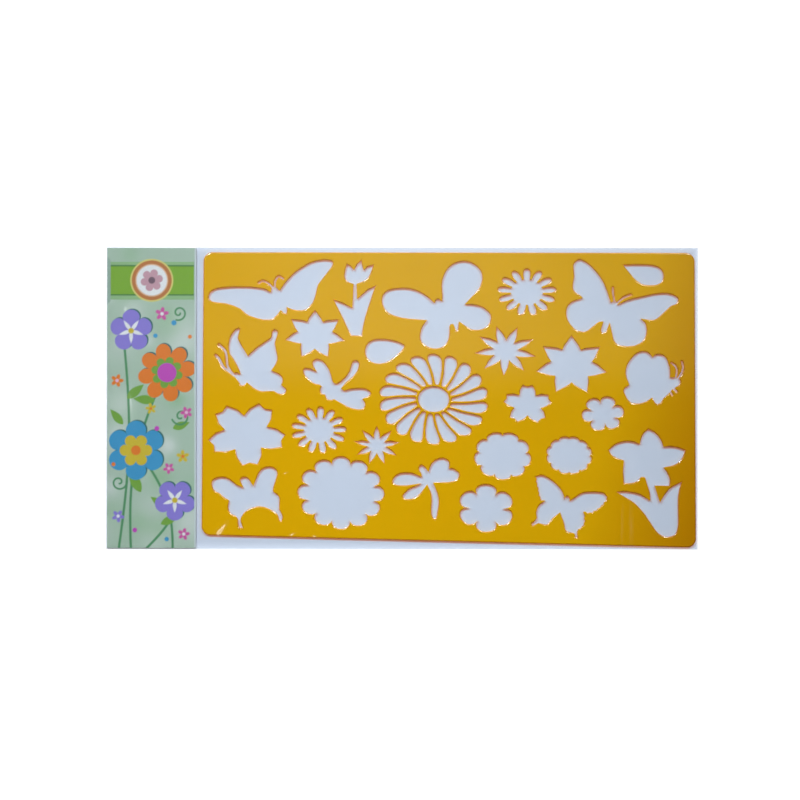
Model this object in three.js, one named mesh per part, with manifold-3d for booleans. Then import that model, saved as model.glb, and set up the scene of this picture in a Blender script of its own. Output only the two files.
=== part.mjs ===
// Drawing stencil: a translucent amber plate with flower and insect cut-outs, lying in a flat clear film
// sleeve beside a strip of printed card. Millimetres, +Z up. The sleeve lies on z = 0, centred on the Z
// axis, with its long side along X, its fold towards +Y and its open mouth towards -Y.

import * as THREE from "three";
import { mergeVertices } from "three/addons/utils/BufferGeometryUtils.js";
import Module from "manifold-3d";

const wasm = await Module();
wasm.setup();

// Stencil plate. Its left end is narrower, and its short ends lean out towards the lower edge.
const PLATE_LENGTH = 246.2; // along the upper edge
const PLATE_WIDTH = 147.9; // at the right end
const PLATE_TAPER = 6.1; // how much narrower the left end is
const PLATE_FLARE = 0.9; // how far each short end leans out
const PLATE_THICKNESS = 0.9;
const PLATE_CORNER_RADIUS = 4.5;
const LEFT_BORDER = 2.7; // from each edge of the plate to the outermost cut-out there
const RIGHT_BORDER = 5.1;
const TOP_BORDER = 3.5;
const BOTTOM_BORDER = 3.4;
const ANTENNA_WIDTH = 0.9; // slots for feelers and legs, wide enough for a pencil point
const WIDE_ANTENNA_WIDTH = 1.1;
const FLATNESS = 0.11; // how far a straight step along a cut may miss the curve

// Printed card, cut to the width of the sleeve.
const CARD_LENGTH = 44.7;
const CARD_THICKNESS = 0.35;

// Film sleeve.
const FILM_THICKNESS = 0.1;
const WELD_WIDTH = 0.3; // each short end, where front and back film are melted together
const FOLD_WIDTH = 0.3; // crease along the closed long side
const EDGE_CLEARANCE = 0.2; // from the card to the welds and the crease
const FILM_CLEARANCE = 0.2; // from the contents up to the front film
const MOUTH_LIP = 0.3; // film standing out past the card at the open long side
const CARD_PLATE_GAP = 2.8; // at the lower edge, where the plate is longest
const PLATE_WELD_GAP = 0.7;
const PLATE_FOLD_GAP = 2.4;
const PLATE_MOUTH_GAP = 0.8; // at the right end, where the plate is widest

const CUT_OVERRUN = 1; // how far a cutter stands out past the plate's faces
const MERGE_TOLERANCE = 1e-4;

// Sizes and places that follow from the ones above.
const plateCorners = [
  new THREE.Vector2(-PLATE_LENGTH / 2, PLATE_WIDTH / 2),
  new THREE.Vector2(-PLATE_LENGTH / 2 - PLATE_FLARE, PLATE_TAPER - PLATE_WIDTH / 2),
  new THREE.Vector2(PLATE_LENGTH / 2 + PLATE_FLARE, -PLATE_WIDTH / 2),
  new THREE.Vector2(PLATE_LENGTH / 2, PLATE_WIDTH / 2),
];
const lowerEdgeLength = PLATE_LENGTH + 2 * PLATE_FLARE;
const filmLength = EDGE_CLEARANCE + CARD_LENGTH + CARD_PLATE_GAP + lowerEdgeLength + PLATE_WELD_GAP;
const filmWidth = PLATE_MOUTH_GAP + PLATE_WIDTH + PLATE_FOLD_GAP;
const cardWidth = filmWidth - MOUTH_LIP - EDGE_CLEARANCE;
const filmLeft = -filmLength / 2;
const filmRight = filmLength / 2;
const filmMouth = -(filmWidth + FOLD_WIDTH) / 2;
const filmFold = filmMouth + filmWidth;
const cardLeft = filmLeft + EDGE_CLEARANCE;
const plateLeft = cardLeft + CARD_LENGTH + CARD_PLATE_GAP;
const pocketTop = FILM_THICKNESS + Math.max(PLATE_THICKNESS, CARD_THICKNESS) + FILM_CLEARANCE;
const sleeveHeight = pocketTop + FILM_THICKNESS;

const MATERIALS = {
  amber: new THREE.MeshStandardMaterial({ color: 0xd4a11c, roughness: 0.22, metalness: 0 }),
  film: new THREE.MeshStandardMaterial({
    color: 0xd6e2ee,
    roughness: 0.12,
    metalness: 0,
    transparent: true,
    opacity: 0.35,
  }),
  card: new THREE.MeshStandardMaterial({ color: 0xa9c7a4, roughness: 0.55, metalness: 0 }),
};

// A closed geometry as a solid that can be cut.
function solidOf(geometry) {
  const bare = geometry.clone();
  bare.deleteAttribute("normal");
  bare.deleteAttribute("uv");
  const merged = mergeVertices(bare, MERGE_TOLERANCE);
  return new wasm.Manifold(
    new wasm.Mesh({
      numProp: 3,
      vertProperties: merged.attributes.position.array,
      triVerts: new Uint32Array(merged.index.array),
    }),
  );
}

// A cut solid back as a geometry.
function geometryOf(solid) {
  const mesh = solid.getMesh();
  const geometry = new THREE.BufferGeometry();
  geometry.setAttribute("position", new THREE.BufferAttribute(mesh.vertProperties, 3));
  geometry.setIndex(new THREE.BufferAttribute(mesh.triVerts, 1));
  geometry.computeVertexNormals();
  return geometry;
}

function namedMesh(name, geometry, material) {
  const mesh = new THREE.Mesh(geometry, material);
  mesh.name = name;
  return mesh;
}

// A box from its lowest corner and its sizes.
function boxAt(x, y, z, length, width, height) {
  const geometry = new THREE.BoxGeometry(length, width, height);
  return geometry.translate(x + length / 2, y + width / 2, z + height / 2);
}

// A line without the points that lie within FLATNESS of a straight step.
function thinned(line) {
  const first = line[0];
  const last = line.at(-1);
  const chord = last.clone().sub(first);
  const miss = line.map((point) => {
    const offset = point.clone().sub(first);
    return chord.length() > 0 ? Math.abs(offset.cross(chord)) / chord.length() : offset.length();
  });
  const worst = miss.indexOf(Math.max(...miss));
  if (miss[worst] <= FLATNESS) {
    return [first, last];
  }
  return [...thinned(line.slice(0, worst + 1)).slice(0, -1), ...thinned(line.slice(worst))];
}

// A smooth line through points chosen by hand.
function smoothLine(points, closed = false) {
  const CURVE_STEPS = 6;
  const curve = new THREE.CatmullRomCurve3(
    points.map(([x, y]) => new THREE.Vector3(x, y, 0)),
    closed,
    "centripetal",
  );
  const spans = closed ? points.length : points.length - 1;
  return curve.getPoints(spans * CURVE_STEPS).map((p) => new THREE.Vector2(p.x, p.y));
}

// A closed outline of smooth runs that meet at corners. Each run goes on from the last point before it.
function outline(runs) {
  return runs.flatMap((run, index) => {
    const start = runs.at(index - 1).at(-1);
    return smoothLine([start, ...run]).slice(1);
  });
}

// A closed outline without a corner.
function roundOutline(points) {
  return smoothLine(points, true).slice(1);
}

// A run with small teeth: every second point stands out to the side by the tooth's depth.
function toothed(run, pitch, depth) {
  const line = new THREE.CatmullRomCurve3(run.map(([x, y]) => new THREE.Vector3(x, y, 0)));
  const steps = 2 * Math.round(line.getLength() / pitch);
  return Array.from({ length: steps + 1 }, (_, i) => {
    const point = line.getPointAt(i / steps);
    const tangent = line.getTangentAt(i / steps);
    const side = i % 2 ? depth : 0;
    return [point.x - tangent.y * side, point.y + tangent.x * side];
  });
}

// A slot along a smooth line. It gets its width when the drawing is fitted to the plate.
function slot(points, width) {
  return { path: smoothLine(points), width };
}

// The outline of a slot of even width with round ends.
function slotOutline(line, width) {
  const END_STEPS = 4;
  const radius = width / 2;
  const directions = line.map((_, i) => {
    const before = line[Math.max(0, i - 1)];
    const after = line[Math.min(line.length - 1, i + 1)];
    return after.clone().sub(before).angle();
  });
  const around = (i, angle) =>
    line[i].clone().add(new THREE.Vector2(radius * Math.cos(angle), radius * Math.sin(angle)));
  const end = (i, from) =>
    Array.from({ length: END_STEPS + 1 }, (_, k) => around(i, from + (Math.PI * k) / END_STEPS));
  const inner = line.map((_, i) => i).slice(1, -1);
  return [
    ...end(line.length - 1, directions.at(-1) - Math.PI / 2),
    ...inner.toReversed().map((i) => around(i, directions[i] + Math.PI / 2)),
    ...end(0, directions[0] + Math.PI / 2),
    ...inner.map((i) => around(i, directions[i] - Math.PI / 2)),
  ];
}

// Petal profiles: the radius, as a share of the flower's, from w = 0 on a petal's axis to w = 1 in the
// valley.
const EVEN_STATIONS = [0, 0.15, 0.3, 0.45, 0.6, 0.8, 1];

function lobe(valley, fullness, reach = 1) {
  const stations = [0, 0.25, 0.45, 0.6, 0.72, 0.82, 0.9, 0.96, 0.99, 1].map((share) => share * reach);
  const radius = (w) => valley + (1 - valley) * Math.max(0, 1 - (w / reach) ** fullness) ** (1 / fullness);
  return { stations: reach < 1 ? [...stations, 1] : stations, radius };
}

function spike(valley, sharpness) {
  return { stations: EVEN_STATIONS, radius: (w) => 1 - (1 - valley) * w ** sharpness };
}

function notchedPetal(valley, notch, shoulder) {
  const radius = (w) =>
    w < shoulder
      ? THREE.MathUtils.lerp(notch, 1, w / shoulder)
      : THREE.MathUtils.lerp(1, valley, (w - shoulder) / (1 - shoulder));
  return { stations: [0, shoulder, (1 + shoulder) / 2, 1], radius };
}

// A flower with equal petals: its petal profile, turned round the centre and drawn out to its two half axes.
function rosette(petals, startDegrees, [x, y], [halfLength, halfWidth], profile) {
  const start = THREE.MathUtils.degToRad(startDegrees);
  const rising = profile.stations.slice(1).toReversed().map((w) => -w);
  const sides = [...rising, ...profile.stations.slice(0, -1)];
  return Array.from({ length: petals }, (_, petal) =>
    sides.map((w) => {
      const angle = start + ((2 * petal + w) * Math.PI) / petals;
      const radius = profile.radius(Math.abs(w));
      return new THREE.Vector2(
        x + halfLength * radius * Math.cos(angle),
        y + halfWidth * radius * Math.sin(angle),
      );
    }),
  ).flat();
}

// A daisy: a round eye and a ring of separate petals, each as [radius, half width] in shares of the
// flower's. The swirl is how far, in degrees, a petal would lean from its tip to the flower's centre.
function daisy(petals, startDegrees, swirlDegrees, [x, y], [halfLength, halfWidth], eye, petal) {
  const EYE_POINTS = 36;
  const start = THREE.MathUtils.degToRad(startDegrees);
  const swirl = THREE.MathUtils.degToRad(swirlDegrees);
  const place = (radius, side, tipAngle) => {
    const angle = tipAngle - swirl * (1 - radius);
    return [
      x + halfLength * (radius * Math.cos(angle) - side * Math.sin(angle)),
      y + halfWidth * (radius * Math.sin(angle) + side * Math.cos(angle)),
    ];
  };
  const left = petal.map(([radius, half]) => [radius, half]);
  const right = petal.slice(1, -1).toReversed().map(([radius, half]) => [radius, -half]);
  const ring = Array.from({ length: petals }, (_, i) => {
    const angle = start + (2 * Math.PI * i) / petals;
    return roundOutline([...left, ...right].map(([radius, side]) => place(radius, side, angle)));
  });
  const disc = Array.from({ length: EYE_POINTS }, (_, i) =>
    new THREE.Vector2(...place(eye, 0, (2 * Math.PI * i) / EYE_POINTS)),
  );
  return [disc, ...ring];
}

// The cut-outs, drawn in millimetres about the middle of the plate. Each figure is a list of closed
// outlines and slots.
const broadButterfly = [
  outline([
    [[-87.4, 54], [-86.5, 54.6], [-85.6, 54.2], [-83.5, 52.3]],
    [
      [-80.5, 56.5], [-76, 61.5], [-72, 64.3], [-68, 66.6], [-64, 67.7], [-60, 68], [-57.4, 67.2],
      [-57.2, 65.6], [-60.5, 61], [-64.5, 55.5],
    ],
    [[-65.2, 52], [-67, 46.5], [-70.5, 43], [-73.5, 42.4], [-76.5, 42.8], [-80, 44.2]],
    [[-79.8, 42.3], [-80.2, 40.9], [-81.4, 41], [-82.1, 42], [-83, 42.5]],
    [
      [-85, 39.8], [-87, 38], [-90, 37.6], [-93, 37.9], [-99.5, 40.2], [-103, 43.2], [-110, 45.8],
      [-114, 46.2], [-117.5, 47], [-118.7, 48.8], [-118, 51.2], [-115.5, 52.9], [-110, 53.9],
      [-103, 54.2], [-96, 53.9], [-91, 53], [-87.8, 51.4],
    ],
  ]),
  slot([[-87, 54], [-89.5, 56.4], [-92, 57.2], [-93.8, 56.3]], ANTENNA_WIDTH),
  slot([[-86, 54], [-85.6, 57.5], [-83.9, 59.6], [-81.9, 58.6]], ANTENNA_WIDTH),
];

const tulip = [
  outline([
    [[-47.2, 64.6], [-45.5, 62.8]],
    [[-44, 65.6], [-41.9, 67.8]],
    [[-41.6, 65.2], [-40.8, 62.7]],
    [[-38.6, 64.6], [-35.9, 65.4]],
    [[-36.6, 63.4], [-37.5, 61], [-39, 58.6], [-41.5, 57], [-44.3, 56]],
    [[-44, 48.3]],
    [[-41, 50.8], [-38, 53.2], [-34.8, 54.9]],
    [[-36.3, 51], [-37.5, 47], [-39, 42.5], [-40.5, 37], [-41.7, 30]],
    [[-46.7, 30]],
    [[-48.5, 33.5], [-50.5, 38], [-53, 43], [-55.5, 47.8]],
    [[-51, 46], [-46.2, 43.7]],
    [[-45.7, 56]],
    [[-46.5, 56.2], [-49, 57.3], [-50.2, 59.5], [-50, 62], [-49, 65.8]],
  ]),
];

const roundButterfly = [
  outline([
    [
      [-15, 38.6], [-20, 39.1], [-24, 40], [-27, 41.3], [-29.5, 43.5], [-31, 47.4], [-30.3, 50.6],
      [-28.5, 52.5], [-25, 53.6], [-20, 53.9], [-16, 53.4], [-12, 51.9], [-8, 49.2], [-5, 46.6],
    ],
    [[-4.3, 48], [-3.3, 48.6], [-2.3, 48.2], [-1.2, 47.4]],
    [
      [-1, 50], [-1.4, 54], [-1.2, 57.5], [-0.3, 60.5], [1.2, 63.3], [3.5, 65.6], [6, 66.9],
      [9.5, 67.5], [12.5, 67], [15.5, 65.3], [17.8, 62.7], [18.6, 60], [18.4, 57.5], [17.2, 54.5],
      [12.5, 49], [9.8, 46.1],
    ],
    [
      [14, 45.8], [17.5, 45.2], [20.5, 43.4], [22.6, 41], [22.9, 38.8], [22, 36.6], [20, 34.6],
      [17, 33.5], [13.5, 33.7], [10.5, 35.3], [7, 37.7],
    ],
    [[6.8, 36], [6.5, 33.4], [5.7, 32.8], [5, 34.8], [4.2, 36.3], [3, 36.3]],
    [
      [2.4, 35.3], [2.4, 32], [1.9, 28.8], [0.5, 26.3], [-1.5, 24.7], [-3.5, 24.1], [-6, 24.1],
      [-8.5, 25], [-11, 26.8], [-12.1, 29], [-12, 31.2], [-11.3, 34], [-8.7, 38.2],
    ],
  ]),
];

const swallowtail = [
  outline([
    [[83, 47.8], [84.2, 48.2], [85.2, 47.6], [85.5, 46.2]],
    [
      [90, 48.2], [95, 49.6], [100, 50.7], [105, 51.7], [110, 51.9], [113, 51.2], [115.4, 49.4],
      [114.5, 47], [112, 46], [108, 42.5], [104.5, 39.5], [102, 39], [96.8, 39.7],
    ],
    [
      [98, 38.5], [99.3, 37], [99.8, 34.5], [99.5, 31.5], [98, 29], [96, 27.3], [93, 26.3], [89, 26.2],
      [85.5, 27], [83.8, 28.8], [83, 31.5], [81.6, 37.6],
    ],
    [[79.6, 33], [78.3, 32.4], [77.4, 33.4], [78.6, 38.2]],
    [
      [76.4, 38], [72.5, 35], [70.5, 33.5], [68.5, 33], [65, 34], [62.5, 36.3], [60.8, 39], [60.2, 42],
      [60.7, 45], [62, 46.7], [64, 48], [68.5, 49.6],
    ],
    [
      [67, 51], [64.8, 52.3], [63.5, 54.3], [64.2, 60], [64, 66], [66.5, 68.3], [69, 67.6], [72, 65.5],
      [77.5, 59], [79.3, 55.5], [82.2, 47.3],
    ],
  ]),
  slot([[84, 47.5], [83.4, 51], [83.2, 54.6]], ANTENNA_WIDTH),
  slot([[85, 47], [88.5, 49.8], [92, 51.2]], ANTENNA_WIDTH),
];

const upperDrop = [
  outline([
    [
      [95, 66.2], [102, 65.9], [105.5, 64.9], [107.3, 63], [107.9, 60.5], [107, 58], [104.5, 56.6],
      [101, 56.2], [97, 57], [94, 59], [91.5, 62], [88, 66],
    ],
  ]),
];

const lowerDrop = [
  roundOutline([
    [-20.6, 23.9], [-25.5, 19.3], [-28, 17.6], [-31, 16.6], [-34, 16.6], [-36.8, 17.8], [-38.8, 20],
    [-39.4, 22.5], [-39, 24.8], [-37.6, 27], [-34.8, 28.5], [-30, 28.8], [-26, 28.3], [-22, 27.1],
    [-19.8, 25.6],
  ]),
];

const sideButterfly = [
  outline([
    [[-96, 22.6], [-92.5, 25.3], [-87.9, 28.6], [-87.3, 30.5], [-87.2, 32.2]],
    [
      [-86, 32.9], [-84.7, 32.3], [-84.7, 30.4], [-86, 26], [-85.6, 23], [-84.6, 18], [-85.2, 15.5],
      [-87.8, 11.5],
    ],
    [[-83.3, 9.2], [-82, 7.5], [-82, 5.5], [-82.6, 3.9]],
    [[-81.3, 2.8], [-80.1, 1.6], [-80.3, 0.3], [-82, -0.8], [-84.3, -0.4], [-86.3, 0.8]],
    [[-88.5, 0.8], [-93, 0.6], [-96, 1.9], [-100.2, 5.1]],
    [[-101.5, 3.7], [-103.4, 3.5], [-104, 5], [-105.8, 7], [-107.8, 9.6]],
    [[-105.5, 10], [-103.4, 9.4]],
    [
      [-104.2, 12], [-107.2, 17.8], [-109, 20.3], [-109.6, 23.5], [-109.3, 27], [-108.2, 30],
      [-106.5, 32.4], [-104.8, 33.4], [-104, 33],
    ],
    [[-105, 28.5], [-104.2, 26.2], [-101.8, 22.3], [-99.8, 18.9]],
  ]),
  slot(
    [
      [-106.9, 9], [-109.2, 11.6], [-110.3, 14], [-110.6, 18], [-111.3, 21.3], [-112.8, 23.3],
      [-114.6, 24.8],
    ],
    WIDE_ANTENNA_WIDTH,
  ),
  slot(
    [[-106.8, 8.8], [-110, 11.4], [-112.3, 13], [-113.8, 16], [-115.2, 18.3], [-116.3, 19.2]],
    WIDE_ANTENNA_WIDTH,
  ),
];

const upperDragonfly = [
  outline([
    [
      [-66.4, 15.5], [-66.3, 17.2], [-64.5, 18.3], [-62, 17.6], [-60, 15.6], [-58.2, 12.6],
      [-57.1, 9.4], [-56.2, 6.4], [-54.6, 5.6],
    ],
    [
      [-52.6, 6.6], [-48.9, 10.2], [-47.4, 13], [-46.6, 16], [-45.8, 17.5], [-44.4, 17.8],
      [-43.2, 16.6], [-43.3, 14.6], [-44.3, 12], [-46, 9.9], [-50, 6.4], [-52.2, 3.4],
    ],
    [[-50.6, 2.2]],
    [[-48, 2.9], [-44, 3.4], [-40.5, 3.4], [-38.2, 2.5], [-37.1, 1], [-38.2, -0.2], [-41.5, -1.9]],
    [
      [-40.2, -3.6], [-40, -5.3], [-41, -6.8], [-43, -7.2], [-45.5, -6.9], [-48.5, -6], [-51, -4.6],
      [-55.6, -2.1],
    ],
    [[-57, -2.5], [-58.8, -2.3], [-59.8, -1], [-60.1, 0.2]],
    [[-61.7, 0.4], [-62.6, 1.8], [-62.4, 3.4], [-61.8, 4.4]],
    [[-63, 5.3], [-65.5, 5.8], [-69.5, 9], [-71, 11], [-71.2, 12.7]],
    [[-70.6, 13.4], [-68, 13.2], [-64.3, 11.8]],
  ]),
];

const moth = [
  outline([
    [[104, 22.4], [106.5, 22.8], [109, 21.6], [110.4, 19], [111.3, 16], [111.4, 11.2]],
    [[113.2, 11.4], [115.6, 11], [116.8, 9.4], [115.9, 7.3], [113.8, 6.1], [112.3, 4.9]],
    [[110.6, 3], [107.6, 0.2]],
    [[107, -1.2], [105.5, -2.2], [103.9, -1.8], [103, -0.3], [102.3, 1]],
    [
      [101, 0], [98.5, -1.4], [95.5, -2.1], [92, -1.8], [90, -0.3], [88.6, 2], [87.8, 4.2], [88.6, 5.7],
      [90.8, 7.2],
    ],
    [
      [89.2, 11.5], [88.9, 14], [89.8, 17.5], [92, 20.7], [94.5, 23.1], [97, 24.1], [99.5, 24],
      [101, 23], [102.6, 21.2],
    ],
  ]),
  slot([[114.5, 10.6], [115, 14.5], [114.2, 17], [112.2, 18.5]], ANTENNA_WIDTH),
  slot([[115.2, 10.4], [117.4, 13.5], [118.2, 16.5], [117.6, 19.2]], ANTENNA_WIDTH),
  slot([[112.9, 6.3], [114.7, 4.2]], ANTENNA_WIDTH),
  slot([[111.2, 4.6], [112.3, 2.6]], ANTENNA_WIDTH),
];

const daffodil = [
  outline([
    [[97, -18.5], [98.2, -16.2], [100.4, -14.3]],
    [[103, -15.6], [105.5, -17.9], [107.1, -20.5], [107.9, -23.2]],
    [[111, -22.9], [115, -23.3], [119, -24.6]],
    [[117.6, -28], [115.5, -30.6], [113, -32.1], [107.8, -33.4]],
    [[109.2, -35], [110.5, -37.5], [111.2, -40], [110.8, -42.4]],
    [[103.3, -42.5]],
    [[106, -50.9]],
    [[107.6, -48.6], [109.4, -45.8], [111.2, -43.7], [114, -42], [117.1, -40.3]],
    [
      [116.2, -43], [115.3, -47], [115.1, -52], [115.2, -58], [115, -63], [113.7, -66.5],
      [111.5, -67.7], [109, -67.9], [106.5, -67.1], [104.3, -65.4], [100.5, -59.8], [98, -56.3],
      [95, -53], [92, -50.5], [84.3, -46.2],
    ],
    [[88, -45.9], [92, -46.2], [96, -47.2], [99, -48.9], [101.3, -50.2]],
    [[101.2, -47], [100.2, -43.2], [98.6, -38.4]],
    [[96.5, -38.3], [95.3, -39.9], [93, -41.2], [90, -41.6], [88, -41.7]],
    [[87.7, -36], [88, -30.2]],
    [[84, -28.9], [81.8, -27.5], [80.4, -25.2]],
    [[83, -22.8], [86, -21.3], [89, -20.7], [92, -20.8], [96.1, -22]],
  ]),
];

const tailedButterfly = [
  outline([
    [
      [-110.4, -53], [-113.5, -50.3], [-115.5, -49.5], [-116.9, -47.5], [-117.4, -45.3],
      [-116.5, -43.4], [-114, -42.3], [-111, -42.1], [-109, -42.8], [-105, -45.9], [-101.3, -47.2],
    ],
    [[-102.4, -45], [-103, -43.2], [-101.8, -41.9], [-99.7, -42], [-98.3, -43.4], [-96.4, -46.3]],
    [
      [-95, -42.8], [-93.5, -39.2], [-92, -37.4], [-89.5, -36.3], [-87, -36.3], [-85.2, -37.4],
      [-84.4, -39.3], [-84.9, -42], [-86.5, -47.5], [-86.4, -49],
    ],
    [[-84.5, -50.3], [-83.3, -52], [-83.3, -58], [-82.3, -60], [-81.6, -62.2], [-82.2, -64.4]],
    [
      [-83.3, -63.3], [-83.9, -61], [-85.2, -59.6], [-90, -57.2], [-93, -56.7], [-96, -57.2],
      [-99, -58.5], [-101, -60.3], [-102.2, -62], [-102.8, -64], [-101.7, -68],
    ],
    [
      [-103.2, -68.1], [-103.9, -66], [-104.1, -63.5], [-105, -62.3], [-107, -61.3], [-108.5, -59.8],
      [-109.1, -57.5], [-108.6, -53.9],
    ],
  ]),
];

const lowerDragonfly = [
  outline([
    [
      [-17, -44.4], [-20, -44.7], [-24, -44.5], [-26, -43.5], [-25.9, -42], [-24.8, -40.2],
      [-22.5, -38.8], [-19, -38.3], [-16, -38.6], [-11.3, -40.2],
    ],
    [[-11.5, -38.4], [-12.6, -36.8], [-12.7, -35.2], [-11.5, -34.1], [-10.1, -35], [-8, -37.6]],
    [
      [-7.1, -35], [-6.2, -33.2], [-4.5, -31.5], [-2, -30.5], [0, -30.5], [1.9, -31.6], [2.5, -33.4],
      [2.2, -35.5],
    ],
    [[4, -35.6], [6, -36.6], [7.4, -38], [7.2, -40], [5.6, -41.6], [3, -42.4], [-5.7, -42.9]],
    [
      [-4, -47], [-3.1, -50], [-2.8, -53], [-3.1, -56], [-4.2, -61], [-5.2, -61.4], [-6.3, -59.5],
      [-6.5, -57], [-6.2, -51], [-6.7, -48], [-8.6, -43.9],
    ],
    [
      [-12, -48.4], [-14.5, -50.6], [-17, -51.6], [-19.8, -51.6], [-20.9, -50.3], [-17.5, -46.4],
      [-15, -45.3], [-11.4, -43.4],
    ],
  ]),
];

const TOOTH_PITCH = 2.2;
const TOOTH_DEPTH = 0.5;
const raggedButterfly = [
  outline([
    toothed([[47.8, -50], [46.9, -48], [46.4, -45], [45.7, -42], [45.2, -38.6]], TOOTH_PITCH, -TOOTH_DEPTH),
    [[47.5, -37.7], [50, -38.2], [53, -40], [55.5, -42], [57.6, -44.3], [59.1, -47], [59.9, -49.9]],
    [[60.2, -48.6], [61.3, -48], [62.2, -48.9], [62.3, -50.3]],
    [[65, -48.9], [67, -47.3], [69.5, -46.1], [73, -45.7], [77, -45.7], [79.7, -46.3], [81.2, -48]],
    toothed(
      [[80.8, -49.8], [79.6, -51.6], [77.6, -53.6], [75, -55.4], [72.5, -56.4], [69.2, -55.6]],
      TOOTH_PITCH,
      -TOOTH_DEPTH,
    ),
    toothed([[69.9, -58], [70.1, -60.5], [69.6, -62.5], [66.2, -65.6]], TOOTH_PITCH, -TOOTH_DEPTH),
    [[66.1, -67.3], [66.3, -69]],
    [
      [65.2, -68.8], [64.9, -66.8], [63.5, -66.3], [61.5, -65.9], [60.2, -64.9], [59.7, -62],
      [57.6, -56.2],
    ],
    [[53.6, -59.3], [52.2, -61], [51.2, -62.5], [46.5, -61.9]],
    [[45, -62.8], [43.6, -63.3], [43.2, -62.3], [44.8, -61], [45.9, -59.5]],
    [[45.6, -56.5], [46.4, -54], [48, -52], [50.2, -50.5]],
  ]),
];

const DAISY_PETAL = [
  [0.33, 0], [0.34, 0.026], [0.4, 0.045], [0.55, 0.072], [0.75, 0.107], [0.87, 0.122], [0.94, 0.104],
  [0.985, 0.06], [1, 0],
];

const flowers = [
  ...daisy(18, 91, 17, [-7.6, -1.8], [27, 22.6], 0.283, DAISY_PETAL),
  rosette(7, 90, [-66.8, 30.1], [14.9, 12.2], spike(0.58, 0.72)),
  rosette(7, 90, [61, 16], [17.8, 14.5], spike(0.58, 0.72)),
  rosette(9, 107, [28.1, 23], [15.2, 12.3], spike(0.39, 0.8)),
  rosette(9, 90, [-35.8, -25.5], [11, 9.5], spike(0.38, 0.8)),
  rosette(13, 90, [38.8, 52.2], [14.5, 11.5], lobe(0.55, 2.2, 0.72)),
  rosette(13, 86, [-64.6, -18.2], [13.5, 11.6], lobe(0.55, 2.2, 0.72)),
  rosette(5, 90, [39.1, -3.7], [11.8, 9.5], notchedPetal(0.57, 0.92, 0.31)),
  rosette(5, 132, [-100.6, -20.8], [19.1, 16.1], notchedPetal(0.57, 0.92, 0.31)),
  rosette(6, 130, [76.5, -7.7], [10.4, 8.5], lobe(0.55, 2.2)),
  rosette(6, 90, [18.5, -55.9], [13.9, 11.8], lobe(0.6, 2.2)),
  rosette(9, -90, [26.7, -29.5], [14.1, 11.8], lobe(0.82, 2)),
  rosette(12, 90, [-53.5, -49.9], [21.4, 18.3], lobe(0.78, 2)),
  rosette(12, 75, [59.7, -28.6], [11.3, 9.2], lobe(0.88, 2)),
];

// The line that a cut-out is drawn with: a closed outline, or a slot's middle.
function pathOf(cut) {
  return cut.path ?? cut;
}

// A figure moved along the plate and across it, and drawn larger or smaller about its own middle.
function moved(figure, along, across, growth) {
  const middle = new THREE.Box2().setFromPoints(figure.flatMap(pathOf)).getCenter(new THREE.Vector2());
  const place = middle.clone().add(new THREE.Vector2(along, across));
  const shifted = (line) => line.map((point) => point.clone().sub(middle).multiplyScalar(growth).add(place));
  return figure.map((cut) => (cut.path ? { ...cut, path: shifted(cut.path) } : shifted(cut)));
}

const figures = [
  ...moved(broadButterfly, -1, 0, 1.002),
  ...moved(tulip, -1.9, 0, 1.005),
  ...moved(roundButterfly, -2.2, -0.2, 1.007),
  ...moved(swallowtail, -1.5, -0.2, 1.01),
  ...moved(upperDrop, -1, -0.4, 1.009),
  ...moved(lowerDrop, -2.4, -0.8, 0.987),
  ...moved(sideButterfly, -0.4, 0, 0.968),
  ...moved(upperDragonfly, -1.5, -0.5, 0.981),
  ...moved(moth, -1.3, -0.7, 0.974),
  ...moved(daffodil, -1.3, -0.3, 0.984),
  ...moved(tailedButterfly, -0.5, -1.1, 0.981),
  ...moved(lowerDragonfly, -2.1, -0.7, 0.981),
  ...moved(raggedButterfly, -2.5, -0.9, 0.981),
  ...flowers,
];

// The drawing stretched over the plate so that its outermost points lie on the borders inside the edges.
function fitted(cuts) {
  const drawn = new THREE.Box2().setFromPoints(cuts.flatMap(pathOf));
  const borders = [
    new THREE.Vector2(LEFT_BORDER, -TOP_BORDER),
    new THREE.Vector2(LEFT_BORDER, BOTTOM_BORDER),
    new THREE.Vector2(-RIGHT_BORDER, BOTTOM_BORDER),
    new THREE.Vector2(-RIGHT_BORDER, -TOP_BORDER),
  ];
  const [upperLeft, lowerLeft, lowerRight, upperRight] = plateCorners.map((corner, i) =>
    corner.clone().add(borders[i]),
  );
  const stretched = (point) => {
    const share = drawn.getParameter(point, new THREE.Vector2());
    const upper = upperLeft.clone().lerp(upperRight, share.x);
    const lower = lowerLeft.clone().lerp(lowerRight, share.x);
    return lower.lerp(upper, share.y);
  };
  return cuts.map((cut) => {
    const placed = pathOf(cut).map(stretched);
    const closed = cut.width ? slotOutline(placed, cut.width) : placed;
    return thinned([...closed, closed[0]]).slice(0, -1);
  });
}

function prism(shape, depth) {
  return new THREE.ExtrudeGeometry(shape, { depth, bevelEnabled: false });
}

// A polygon with round corners, from its corners in anticlockwise order.
function roundedPolygon(corners, radius) {
  const shape = new THREE.Shape();
  const directions = corners.map((corner, i) => {
    const next = corners[(i + 1) % corners.length];
    return next.clone().sub(corner).angle();
  });
  corners.forEach((corner, i) => {
    const [from, to] = [directions.at(i - 1), directions[i]].map((direction) => direction - Math.PI / 2);
    const outward = [from, to].map((angle) => new THREE.Vector2(Math.cos(angle), Math.sin(angle)));
    const depth = radius / (1 + outward[0].dot(outward[1]));
    const middle = corner.clone().addScaledVector(outward[0].clone().add(outward[1]), -depth);
    shape.absarc(middle.x, middle.y, radius, from, to);
  });
  return shape;
}

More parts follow.
